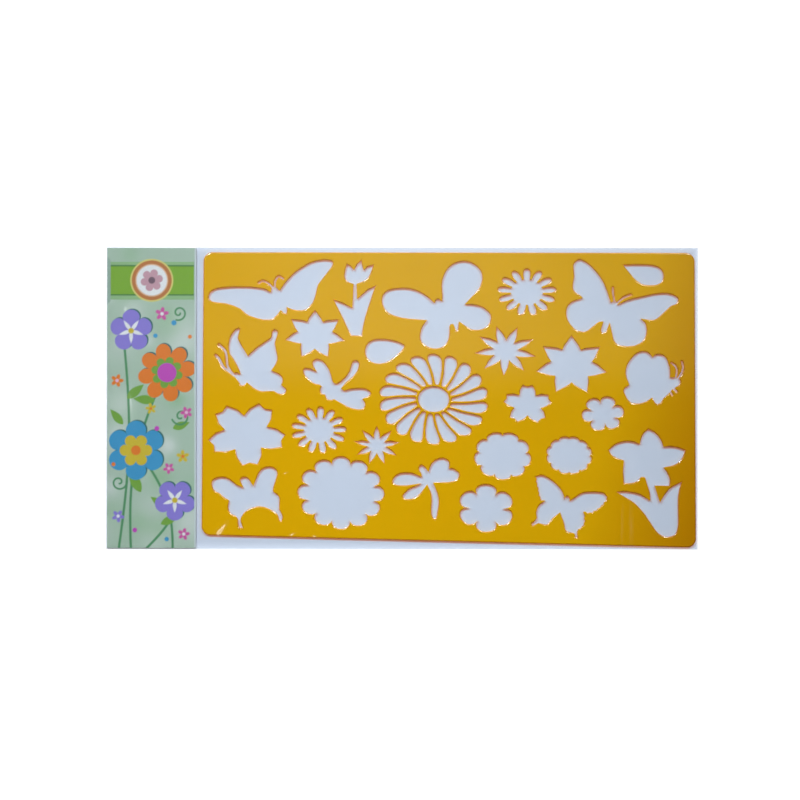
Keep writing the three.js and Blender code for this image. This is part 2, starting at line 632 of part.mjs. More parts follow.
function stencilPlate() {
  const blank = solidOf(prism(roundedPolygon(plateCorners, PLATE_CORNER_RADIUS), PLATE_THICKNESS));
  const cutters = fitted(figures).map((line) => {
    const cutter = prism(new THREE.Shape(line), PLATE_THICKNESS + 2 * CUT_OVERRUN);
    return solidOf(cutter.translate(0, 0, -CUT_OVERRUN));
  });
  const cut = cutters.reduce((plate, cutter) => plate.subtract(cutter), blank);
  const mesh = namedMesh("stencil_plate", geometryOf(cut), MATERIALS.amber);
  const x = plateLeft + lowerEdgeLength / 2;
  const y = filmFold - PLATE_FOLD_GAP - PLATE_WIDTH / 2;
  mesh.position.set(x, y, FILM_THICKNESS);
  return mesh;
}

function titleCard() {
  const lowerEdge = filmMouth + MOUTH_LIP;
  const card = boxAt(cardLeft, lowerEdge, FILM_THICKNESS, CARD_LENGTH, cardWidth, CARD_THICKNESS);
  return namedMesh("title_card", card, MATERIALS.card);
}

// The sleeve: two sheets of film, closed by the fold along one long side and by a weld at each short end.
function film(name, z) {
  const sheet = boxAt(filmLeft, filmMouth, z, filmLength, filmWidth, FILM_THICKNESS);
  return namedMesh(name, sheet, MATERIALS.film);
}

function sleeveFold() {
  const fold = boxAt(filmLeft, filmFold, 0, filmLength, FOLD_WIDTH, sleeveHeight);
  return namedMesh("sleeve_fold", fold, MATERIALS.film);
}

function weld(name, x) {
  const seam = boxAt(x, filmMouth, 0, WELD_WIDTH, filmWidth + FOLD_WIDTH, sleeveHeight);
  return namedMesh(name, seam, MATERIALS.film);
}

const drawingStencil = new THREE.Group();
drawingStencil.name = "drawing_stencil";
drawingStencil.add(
  stencilPlate(),
  titleCard(),
  film("sleeve_front", pocketTop),
  film("sleeve_back", 0),
  sleeveFold(),
  weld("left_weld", filmLeft - WELD_WIDTH),
  weld("right_weld", filmRight),
);

export default drawingStencil;
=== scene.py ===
"""Looks of the drawing stencil: an amber plate with cut-outs and a strip of printed card in a film sleeve.

Lengths are in metres. The plate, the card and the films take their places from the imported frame.
"""

import logging
import math
from collections.abc import Sequence
from dataclasses import dataclass
from enum import Enum

import bpy
import numpy as np
from mathutils import Matrix, Vector
from mathutils.geometry import delaunay_2d_cdt


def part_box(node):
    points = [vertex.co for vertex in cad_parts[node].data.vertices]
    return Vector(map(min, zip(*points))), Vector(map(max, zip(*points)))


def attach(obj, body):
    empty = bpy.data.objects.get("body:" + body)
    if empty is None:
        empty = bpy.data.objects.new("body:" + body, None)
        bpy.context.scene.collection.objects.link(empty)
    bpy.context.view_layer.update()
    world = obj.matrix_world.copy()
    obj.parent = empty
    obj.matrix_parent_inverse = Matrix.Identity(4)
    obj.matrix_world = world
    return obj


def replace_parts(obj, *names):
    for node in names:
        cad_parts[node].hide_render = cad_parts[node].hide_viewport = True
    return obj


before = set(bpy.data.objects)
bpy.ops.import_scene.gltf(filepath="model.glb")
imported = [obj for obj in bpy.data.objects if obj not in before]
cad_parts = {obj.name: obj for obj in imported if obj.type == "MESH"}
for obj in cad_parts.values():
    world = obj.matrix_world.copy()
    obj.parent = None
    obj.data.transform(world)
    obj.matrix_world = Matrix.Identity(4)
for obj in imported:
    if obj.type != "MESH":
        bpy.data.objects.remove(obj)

MM = 0.001
# Keeps a division by a length away from zero.
TINY = 1e-9
Array = np.ndarray
Colour = tuple[float, float, float]
Triple = tuple[float, float, float]
Span = tuple[float, float]

log = logging.getLogger("drawing_stencil")


class Body(Enum):
    """The bodies that the pieces ride on."""

    SLEEVE = "sleeve"
    STENCIL = "stencil"
    CARD = "card"


class Slot(Enum):
    """The record's material slots."""

    AMBER = "amber_plastic"
    CARD = "printed_card"
    FILM = "clear_film"


class Ease(Enum):
    """How a ramp starts and ends."""

    EVEN = "LINEAR"
    SOFT = "SMOOTHSTEP"


def linear(red: int, green: int, blue: int) -> Colour:
    """Turns a screen colour into the linear colour that shaders use.

    The screen's curve is a straight line near black and a power above that.

    Args:
        red: Red from 0 to 255.
        green: Green from 0 to 255.
        blue: Blue from 0 to 255.

    Returns:
        The three linear shares.
    """
    knee, slope, offset, power = 0.04045, 12.92, 0.055, 2.4
    shares = np.array([red, green, blue]) / 255
    curved = np.where(shares <= knee, shares / slope, ((shares + offset) / (1 + offset)) ** power)
    return tuple(float(share) for share in curved)


class NodeSketch:
    """A node tree that is written one node at a time."""

    def __init__(self, tree: bpy.types.NodeTree) -> None:
        """Empties the tree."""
        self.tree = tree
        tree.nodes.clear()

    @classmethod
    def of_material(cls, name: str) -> tuple["NodeSketch", bpy.types.Material]:
        """Makes a new material and the sketch of its nodes.

        Args:
            name: The material's name.

        Returns:
            The sketch and the material.
        """
        material = bpy.data.materials.new(name)
        material.use_nodes = True
        return cls(material.node_tree), material

    def add(self, kind: str, inputs: dict | None = None, **settings: object) -> bpy.types.Node:
        """Adds one node.

        Args:
            kind: The node's type name.
            inputs: Values by socket name or number. A socket as a value is linked, other values are set.
            settings: The node's own properties.

        Returns:
            The new node.
        """
        node = self.tree.nodes.new(kind)
        for name, value in settings.items():
            setattr(node, name, value)
        for name, value in (inputs or {}).items():
            if isinstance(value, bpy.types.NodeSocket):
                self.tree.links.new(value, node.inputs[name])
            else:
                node.inputs[name].default_value = value
        return node

    def math(self, operation: str, *values: object) -> bpy.types.NodeSocket:
        """Adds a Math node and returns its result."""
        return self.add("ShaderNodeMath", dict(enumerate(values)), operation=operation).outputs[0]

    def blend(self, share: object, first: object, second: object) -> bpy.types.NodeSocket:
        """Mixes two colours.

        Args:
            share: How much of the second colour shows.
            first: A linear colour or a socket.
            second: A linear colour or a socket.

        Returns:
            The mixed colour's socket.
        """
        node = self.add("ShaderNodeMix", data_type="RGBA")
        for name, value in (("Factor_Float", share), ("A_Color", first), ("B_Color", second)):
            socket = next(s for s in node.inputs if s.identifier == name)
            if isinstance(value, bpy.types.NodeSocket):
                self.tree.links.new(value, socket)
            else:
                socket.default_value = (*value, 1.0) if isinstance(value, tuple) else value
        return next(s for s in node.outputs if s.identifier == "Result_Color")

    def vector(self, operation: str, *values: object, output: str = "Vector") -> bpy.types.NodeSocket:
        """Adds a Vector Math node and returns the output of the given name."""
        inputs = dict(enumerate(values))
        return self.add("ShaderNodeVectorMath", inputs, operation=operation).outputs[output]

    def place(self) -> bpy.types.NodeSocket:
        """Adds the Object coordinates."""
        return self.add("ShaderNodeTexCoord").outputs["Object"]

    def noise(
        self, scale: float, detail: float = 2.0, stretch: Triple = (1.0, 1.0, 1.0)
    ) -> bpy.types.NodeSocket:
        """Adds noise on Object coordinates.

        Args:
            scale: Waves per metre.
            detail: How many finer layers are added.
            stretch: Scale of the coordinates along each axis.

        Returns:
            The noise, from 0 to 1.
        """
        mapped = self.add("ShaderNodeMapping", {"Vector": self.place(), "Scale": stretch}).outputs[0]
        inputs = {"Vector": mapped, "Scale": scale, "Detail": detail}
        return self.add("ShaderNodeTexNoise", inputs).outputs[0]

    def bump(self, height: bpy.types.NodeSocket, depth: float) -> bpy.types.NodeSocket:
        """Turns a height from 0 to 1 into a normal, with the given depth in metres."""
        return self.add("ShaderNodeBump", {"Height": height, "Distance": depth}).outputs[0]

    def spread(self, value: bpy.types.NodeSocket, low: float, high: float) -> bpy.types.NodeSocket:
        """Spreads a value from 0 to 1 over a range."""
        return self.math("MULTIPLY_ADD", value, high - low, low)

    def ramp(
        self, value: bpy.types.NodeSocket, span: Span, top: float = 1.0, ease: Ease = Ease.SOFT
    ) -> bpy.types.NodeSocket:
        """Rises from 0 while a value crosses a span.

        Args:
            value: The value.
            span: Where the rise starts and where it ends.
            top: What it reaches.
            ease: How it starts and ends.

        Returns:
            The risen value.
        """
        inputs = {"Value": value, "From Min": span[0], "From Max": span[1], "To Max": top}
        return self.add("ShaderNodeMapRange", inputs, interpolation_type=ease.value).outputs[0]

    def finish(self, surface: bpy.types.NodeSocket) -> None:
        """Puts the shader on the material's output."""
        self.add("ShaderNodeOutputMaterial", {"Surface": surface})


@dataclass(frozen=True)
class AmberPlastic:
    """Translucent moulded plastic: a coloured body with some gloss that lets a little light through.

    Attributes:
        name: The material's name.
        pale: Colour where the clouds are clearest.
        deep: Colour where they are densest.
        painted_shade: Painted shade: a deeper colour towards one end of the sheet, where the light falls
            off.
        roughness: Lowest and highest roughness.
        gloss: Strength of the gloss, where 0.5 is plain plastic.
        tint: Colour of the light that comes through.
        seen_through: Share of what lies behind that shows.
        refraction: Index of refraction.
        painted_shade_way: Direction in which the painted shade deepens.
        painted_shade_span: Where along that direction the painted shade begins, and where it is strongest.
        painted_shade_share: How much of the painted shade shows there.
        cloud_waves: Clouds per metre.
        flow_waves: Flow marks per metre.
        flow_stretch: Scale of the flow marks along each axis.
        ripple_waves: Ripples per metre.
        ripple_depth: Depth of a ripple.
    """

    name: str
    pale: Colour
    deep: Colour
    painted_shade: Colour
    roughness: Span
    gloss: float
    tint: Colour = (0.89, 0.42, 0.03)
    seen_through: float = 0.06
    refraction: float = 1.5
    painted_shade_way: Triple = (1.0, -0.25, 0.0)
    painted_shade_span: Span = (106 * MM, 162 * MM)
    painted_shade_share: float = 0.92
    cloud_waves: float = 22.0
    flow_waves: float = 60.0
    flow_stretch: Triple = (0.25, 1.0, 1.0)
    ripple_waves: float = 900.0
    ripple_depth: float = 0.004 * MM

    def material(self) -> bpy.types.Material:
        """Makes the material.

        Returns:
            The new material: clouded colour, painted shade at one end, faint flow marks, rippled gloss.
        """
        sketch, material = NodeSketch.of_material(self.name)
        cloud = sketch.noise(self.cloud_waves, detail=3.0)
        flow = sketch.noise(self.flow_waves, detail=4.0, stretch=self.flow_stretch)
        mottle = sketch.math("MULTIPLY", sketch.math("ADD", cloud, flow), 0.5)
        # Painted shade: the colour deepens along one direction, darkening the sheet towards one end where
        # the light falls off.
        along = sketch.vector("DOT_PRODUCT", sketch.place(), self.painted_shade_way, output="Value")
        painted_shading = sketch.ramp(along, self.painted_shade_span, self.painted_shade_share, Ease.EVEN)
        colour = sketch.blend(painted_shading, sketch.blend(mottle, self.pale, self.deep), self.painted_shade)
        ripple = sketch.noise(self.ripple_waves)
        plastic = sketch.add(
            "ShaderNodeBsdfPrincipled",
            {
                "Base Color": colour,
                "Roughness": sketch.spread(flow, *self.roughness),
                "IOR": self.refraction,
                "Specular IOR Level": self.gloss,
                "Normal": sketch.bump(ripple, self.ripple_depth),
            },
        )
        clear = sketch.add("ShaderNodeBsdfTransparent", {"Color": (*self.tint, 1.0)})
        lamp = sketch.add("ShaderNodeLightPath").outputs["Is Shadow Ray"]
        share = sketch.math("MAXIMUM", lamp, self.seen_through)
        mixed = sketch.add("ShaderNodeMixShader", {0: share, 1: plastic.outputs[0], 2: clear.outputs[0]})
        sketch.finish(mixed.outputs[0])
        return material


@dataclass(frozen=True)
class ClearFilm:
    """Glossy clear film with a faint tint.

    Attributes:
        name: The material's name.
        tint: Share of light that one face of the film lets through.
        mirror: Share that one face mirrors when seen straight on.
        roughness: Lowest and highest roughness of the gloss.
        layer: Name of the attribute that holds how far the film leans in its creases.
        dulling: Roughness that a lean of one adds.
        haze_waves: Hazy patches per metre.
        haze_stretch: Scale of the patches along each axis.
        rim_power: How steeply the mirroring grows as the view slants.
    """

    name: str
    tint: Colour
    mirror: float
    roughness: Span
    layer: str
    dulling: float
    haze_waves: float = 35.0
    haze_stretch: Triple = (1.0, 0.35, 1.0)
    rim_power: float = 5.0

    def material(self) -> bpy.types.Material:
        """Makes the material.

        Returns:
            The new material: see-through film whose gloss grows towards the rim and leans in creases.
        """
        sketch, material = NodeSketch.of_material(self.name)
        clear = sketch.add("ShaderNodeBsdfTransparent", {"Color": (*self.tint, 1.0)})
        haze = sketch.noise(self.haze_waves, detail=4.0, stretch=self.haze_stretch)
        lean = sketch.add("ShaderNodeAttribute", attribute_name=self.layer).outputs["Vector"]
        upright = sketch.add("ShaderNodeNewGeometry").outputs["Normal"]
        normal = sketch.vector("NORMALIZE", sketch.vector("ADD", upright, lean))
        steep = sketch.vector("LENGTH", lean, output="Value")
        rough = sketch.math("MULTIPLY_ADD", steep, self.dulling, sketch.spread(haze, *self.roughness))
        gloss = sketch.add("ShaderNodeBsdfGlossy", {"Roughness": rough, "Normal": normal})
        facing = sketch.add("ShaderNodeLayerWeight", {"Blend": 0.5}).outputs["Facing"]
        rim = sketch.math("POWER", facing, self.rim_power)
        share = sketch.spread(rim, self.mirror, 1.0)
        mixed = sketch.add("ShaderNodeMixShader", {0: share, 1: clear.outputs[0], 2: gloss.outputs[0]})
        sketch.finish(mixed.outputs[0])
        return material


@dataclass(frozen=True)
class PrintedCard:
    """Coated card whose colour is the print painted on its mesh.

    Attributes:
        name: The material's name.
        layer: Name of the colour attribute that holds the print.
        roughness: Lowest and highest roughness.
        gloss: Strength of the gloss, where 0.5 is plain plastic.
        fibre: Colour of the paper's fibres.
        fibre_share: How much of it shows at most.
        grain_waves: Fibres per metre.
        grain_depth: Depth of the grain.
    """

    name: str
    layer: str
    roughness: Span
    gloss: float = 0.2
    fibre: Colour = linear(150, 165, 160)
    fibre_share: float = 0.12
    grain_waves: float = 1400.0
    grain_depth: float = 0.01 * MM

    def material(self) -> bpy.types.Material:
        """Makes the material.

        Returns:
            The new material: the print with a faint grain of paper fibres.
        """
        sketch, material = NodeSketch.of_material(self.name)
        ink = sketch.add("ShaderNodeAttribute", attribute_name=self.layer).outputs["Color"]
        grain = sketch.noise(self.grain_waves, detail=3.0)
        dull = sketch.blend(sketch.spread(grain, 0.0, self.fibre_share), ink, self.fibre)
        card = sketch.add(
            "ShaderNodeBsdfPrincipled",
            {
                "Base Color": dull,
                "Roughness": sketch.spread(grain, *self.roughness),
                "Specular IOR Level": self.gloss,
                "Normal": sketch.bump(grain, self.grain_depth),
            },
        )
        sketch.finish(card.outputs[0])
        return material


@dataclass(frozen=True)
class WhiteFloor:
    """White paper that the camera sees as plain white where no shadow falls.

    Attributes:
        name: The material's name.
        albedo: Share of light that the paper throws back.
        glow: Light added for the camera under the object and well away from it, so that paper is white.
        half: Half the length and half the width of the place under the object.
        fade: Distance over which the one glow passes into the other.
        far: Distances from the middle where the lamps' beams fade, and where the floor is white again.
    """

    name: str
    albedo: float
    glow: Span
    half: Span
    fade: float
    far: Span

    def material(self) -> bpy.types.Material:
        """Makes the material.

        Returns:
            The new material.
        """
        sketch, material = NodeSketch.of_material(self.name)
        grey = (self.albedo, self.albedo, self.albedo, 1.0)
        paper = sketch.add("ShaderNodeBsdfDiffuse", {"Color": grey})
        rays = sketch.add("ShaderNodeLightPath").outputs
        seen = sketch.math("MAXIMUM", rays["Is Camera Ray"], rays["Is Glossy Ray"])
        seen = sketch.math("MAXIMUM", seen, rays["Is Transmission Ray"])
        place = sketch.place()
        axes = sketch.add("ShaderNodeSeparateXYZ", {0: place}).outputs
        beyond = [
            sketch.math("SUBTRACT", sketch.math("ABSOLUTE", axes[axis]), half)
            for axis, half in zip("XY", self.half)
        ]
        away = sketch.ramp(sketch.math("MAXIMUM", *beyond), (0.0, self.fade))
        distant = sketch.ramp(sketch.vector("LENGTH", place, output="Value"), self.far)
        glow = sketch.math("MAXIMUM", sketch.spread(away, *self.glow), distant)
        light = sketch.add("ShaderNodeEmission", {"Strength": sketch.math("MULTIPLY", seen, glow)})
        both = sketch.add("ShaderNodeAddShader", {0: paper.outputs[0], 1: light.outputs[0]})
        sketch.finish(both.outputs[0])
        return material


def grid_quads(rows: int, columns: int) -> Array:
    """Numbers the quads of a grid of points that is stored row by row.

    Args:
        rows: Rows of points.
        columns: Points in a row.

    Returns:
        Four point numbers for each quad, anticlockwise seen from above.
    """
    corner = np.arange(rows - 1)[:, None] * columns + np.arange(columns - 1)
    quads = [corner, corner + 1, corner + columns + 1, corner + columns]
    return np.stack(quads, axis=-1).reshape(-1, 4)


def grid_rim(rows: int, columns: int) -> Array:
    """Numbers the points round the edge of a grid, anticlockwise seen from above.

    Args:
        rows: Rows of points.
        columns: Points in a row.

    Returns:
        The point numbers, each once.
    """
    number = np.arange(rows * columns).reshape(rows, columns)
    sides = [number[0, :-1], number[:-1, -1], number[-1, :0:-1], number[:0:-1, 0]]
    return np.concatenate(sides)


def closed_sheet(under: Array, over: Array) -> tuple[Array, Array]:
    """Closes two grids of points, one above the other, into a thin solid.

    Args:
        under: Points of the lower face, as rows by columns by 3.
        over: Points of the upper face, in the same order.

    Returns:
        The points and the quads of both faces and of the wall round them.
    """
    rows, columns = over.shape[:2]
    count = rows * columns
    quads = grid_quads(rows, columns)
    rim = grid_rim(rows, columns)
    after = np.roll(rim, -1)
    wall = np.stack([rim, after, after + count, rim + count], axis=-1)
    points = np.concatenate([under.reshape(-1, 3), over.reshape(-1, 3)])
    return points, np.concatenate([quads[:, ::-1], quads + count, wall])


def new_piece(name: str, points: Array, faces: Sequence[Array], body: Body) -> bpy.types.Object:
    """Makes a piece of the object from points and faces.

    Args:
        name: The piece's name.
        points: Points in metres.
        faces: Arrays of faces, each with its own number of corners.
        body: The body that the piece rides on.

    Returns:
        The new object.
    """
    mesh = bpy.data.meshes.new(name)
    listed = [face for group in faces for face in group.tolist()]
    mesh.from_pydata(points.tolist(), [], listed)
    mesh.validate()
    piece = bpy.data.objects.new(name, mesh)
    bpy.context.scene.collection.objects.link(piece)
    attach(piece, body.value)
    log.info("%s: %d points, %d faces", name, len(mesh.vertices), len(mesh.polygons))
    return piece


def shade_smooth(piece: bpy.types.Object, sharpest: float) -> None:
    """Shades a piece smoothly, apart from its sharp edges.

    Args:
        piece: The piece.
        sharpest: Turn in degrees above which an edge stays sharp.
    """
    mesh = piece.data
    mesh.polygons.foreach_set("use_smooth", np.ones(len(mesh.polygons), bool))
    mesh.set_sharp_from_angle(angle=math.radians(sharpest))


@dataclass
class StencilPlate:
    """The amber plate: the solid's own outline, with a worn shoulder along the upper edge of every cut.

    Attributes:
        shoulder: Width of the shoulder.
        drop: Height that it loses.
        profile: Points of the shoulder from the face to the wall, as shares of its width and its drop.
        web_share: Greatest share of half a web that a shoulder takes.
        sampling: Distance between the points that stand for the outlines when webs are measured.
        grain: Distance under which two places count as one.
        groups: How many groups of points are measured one after the other, to spare memory.
        longest_mitre: How far a point may move at a sharp corner, in widths.
        least_turn: Lowest divisor of a mitre.
        sharpest: Turn in degrees above which an edge stays sharp.
    """

    shoulder: float = 0.65 * MM
    drop: float = 0.32 * MM
    profile: tuple[tuple[float, float], ...] = ((1.0, 0.0), (0.78, 0.06), (0.2, 0.62), (0.0, 1.0))
    web_share: float = 0.6
    sampling: float = 0.25 * MM
    grain: float = 0.001 * MM
    groups: int = 20
    longest_mitre: float = 1.25
    least_turn: float = 0.05
    sharpest: float = 35.0

    def build(self) -> bpy.types.Object:
        """Makes the plate and dresses it.

        Returns:
            The plate, which stands for the solid of the frame.
        """
        outline, lower, steps = self.read_solid()
        points, faces, is_edge = self.carve(outline, lower, steps)
        piece = new_piece("amber_plate", points, faces, Body.STENCIL)
        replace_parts(piece, "stencil_plate")
        shade_smooth(piece, self.sharpest)
        piece.data.polygons.foreach_set("use_smooth", is_edge)
        for finish in (AMBER_FACE, SHADED_AMBER_EDGE):
            piece.data.materials.append(finish.material())
        # Shoulders and walls take the deeper copy of the amber, which is painted shade.
        piece.data.polygons.foreach_set("material_index", is_edge.astype(np.int32))
        return piece

    def read_solid(self) -> tuple[Array, Array, Array]:
        """Reads the flat outlines and faces of the solid.

        A side of an upper triangle is a step of an outline if no triangle has it the other way round.

        Returns:
            The outline points in the plane, the triangles of the lower face, and the steps along the
            outlines as pairs of point numbers, with the plate to their left.
        """
        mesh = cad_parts["stencil_plate"].data
        places = np.empty(len(mesh.vertices) * 3)
        mesh.vertices.foreach_get("co", places)
        places = places.reshape(-1, 3)
        mesh.calc_loop_triangles()
        triangles = np.empty(len(mesh.loop_triangles) * 3, np.int32)
        mesh.loop_triangles.foreach_get("vertices", triangles)
        triangles = triangles.reshape(-1, 3)
        _, first, number = np.unique(
            np.round(places[:, :2] / self.grain), axis=0, return_index=True, return_inverse=True
        )
        low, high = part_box("stencil_plate")
        middle = (low.z + high.z) / 2
        flat = number.reshape(-1)[triangles]
        is_upper = (places[triangles, 2] > middle).all(axis=1)
        is_lower = (places[triangles, 2] < middle).all(axis=1)
        upper = flat[is_upper]
        steps = np.concatenate([upper[:, [0, 1]], upper[:, [1, 2]], upper[:, [2, 0]]])
        count = len(first)
        key = steps[:, 0] * count + steps[:, 1]
        back = steps[:, 1] * count + steps[:, 0]
        return places[first, :2], flat[is_lower], steps[~np.isin(key, back)]

    def mitres(self, outline: Array, steps: Array) -> Array:
        """Directions into the plate at the outline points, as long as both sides need to move by one.

        Each point has one step before it and one after it. The mitre is the sum of the two steps' normals
        into the plate, over one plus their product.

        Args:
            outline: Outline points in the plane.
            steps: Steps along the outlines.

        Returns:
            One direction for each point.
        """
        along = outline[steps[:, 1]] - outline[steps[:, 0]]
        along /= np.linalg.norm(along, axis=1, keepdims=True)
        inward = np.stack([-along[:, 1], along[:, 0]], axis=1)
        after = np.zeros_like(outline)
        before = np.zeros_like(outline)
        after[steps[:, 0]] = inward
        before[steps[:, 1]] = inward
        product = (after * before).sum(axis=1, keepdims=True)
        mitre = (after + before) / np.maximum(1 + product, self.least_turn)
        reach = np.linalg.norm(mitre, axis=1, keepdims=True)
        return mitre * np.minimum(1, self.longest_mitre / np.maximum(reach, TINY))

    def half_webs(self, outline: Array, steps: Array, mitre: Array) -> Array:
        """Half the width of the web of plate at each outline point.

        It is the radius of the largest circle in the plate that touches the outline there. For any other
        place on the outlines, that is the squared distance over twice the distance along the inward
        direction. The least of these holds.

        Args:
            outline: Outline points in the plane.
            steps: Steps along the outlines.
            mitre: Directions into the plate.

        Returns:
            One radius for each point.
        """
        start = outline[steps[:, 0]]
        way = outline[steps[:, 1]] - start
        parts = np.ceil(np.linalg.norm(way, axis=1) / self.sampling).astype(int)
        which = np.repeat(np.arange(len(steps)), parts)
        share = (np.arange(len(which)) - np.repeat(np.cumsum(parts) - parts, parts)) / parts[which]
        others = start[which] + share[:, None] * way[which]
        inward = mitre / np.maximum(np.linalg.norm(mitre, axis=1, keepdims=True), TINY)
        radii = []
        for group in np.array_split(np.arange(len(outline)), self.groups):
            apart = others[None] - outline[group][:, None]
            ahead = (apart * inward[group][:, None]).sum(axis=2)
            circle = (apart**2).sum(axis=2) / (2 * np.maximum(ahead, TINY))
            radii.append(np.where(ahead > self.grain, circle, np.inf).min(axis=1))
        return np.concatenate(radii)

    def fill(self, outline: Array, steps: Array) -> Array:
        """Fills the plate between its outlines with triangles.

        A triangle belongs to the plate if a line from its middle towards +X crosses an odd number of steps.

        Args:
            outline: Points in the plane.
            steps: Steps along the outlines.

        Returns:
            The triangles.
        """
        all_inside = 1
        corners = [Vector(corner) for corner in outline.tolist()]
        _, _, faces, sources, _, _ = delaunay_2d_cdt(corners, steps.tolist(), [], all_inside, TINY)
        triangles = np.array([[sources[corner][0] for corner in face] for face in faces])
        x, y = outline[triangles].mean(axis=1).T[:, :, None]
        start_x, start_y = outline[steps[:, 0]].T
        end_x, end_y = outline[steps[:, 1]].T
        spans = (start_y > y) != (end_y > y)
        rise = np.where(start_y == end_y, 1.0, end_y - start_y)
        ahead = start_x + (y - start_y) * (end_x - start_x) / rise > x
        return triangles[(spans & ahead).sum(axis=1) % 2 == 1]

    def carve(self, outline: Array, lower: Array, steps: Array) -> tuple[Array, list[Array], Array]:
        """Carries the shoulder along every outline.

        Args:
            outline: Outline points in the plane.
            lower: Triangles of the lower face.
            steps: Steps along the outlines.

        Returns:
            The points, the groups of faces, and for each face whether it is part of the shoulder or the
            wall.
        """
        low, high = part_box("stencil_plate")
        mitre = self.mitres(outline, steps)
        width = np.minimum(self.shoulder, self.web_share * self.half_webs(outline, steps, mitre))
        inset = mitre * width[:, None]
        rings = [
            np.column_stack([outline + share * inset, np.full(len(outline), high.z - fall * self.drop)])
            for share, fall in self.profile
        ]
        rings.append(np.column_stack([outline, np.full(len(outline), low.z)]))
        count = len(outline)
        strips = [
            np.stack([
                steps[:, 0] + (ring + 1) * count,
                steps[:, 1] + (ring + 1) * count,
                steps[:, 1] + ring * count,
                steps[:, 0] + ring * count,
            ], axis=1)
            for ring in range(len(rings) - 1)
        ]
        edge = np.concatenate(strips)
        upper = self.fill(rings[0][:, :2], steps)
        flats = np.concatenate([upper, lower + (len(rings) - 1) * count])
        is_edge = np.concatenate([np.zeros(len(flats), bool), np.ones(len(edge), bool)])
        return np.concatenate(rings), [flats, edge], is_edge


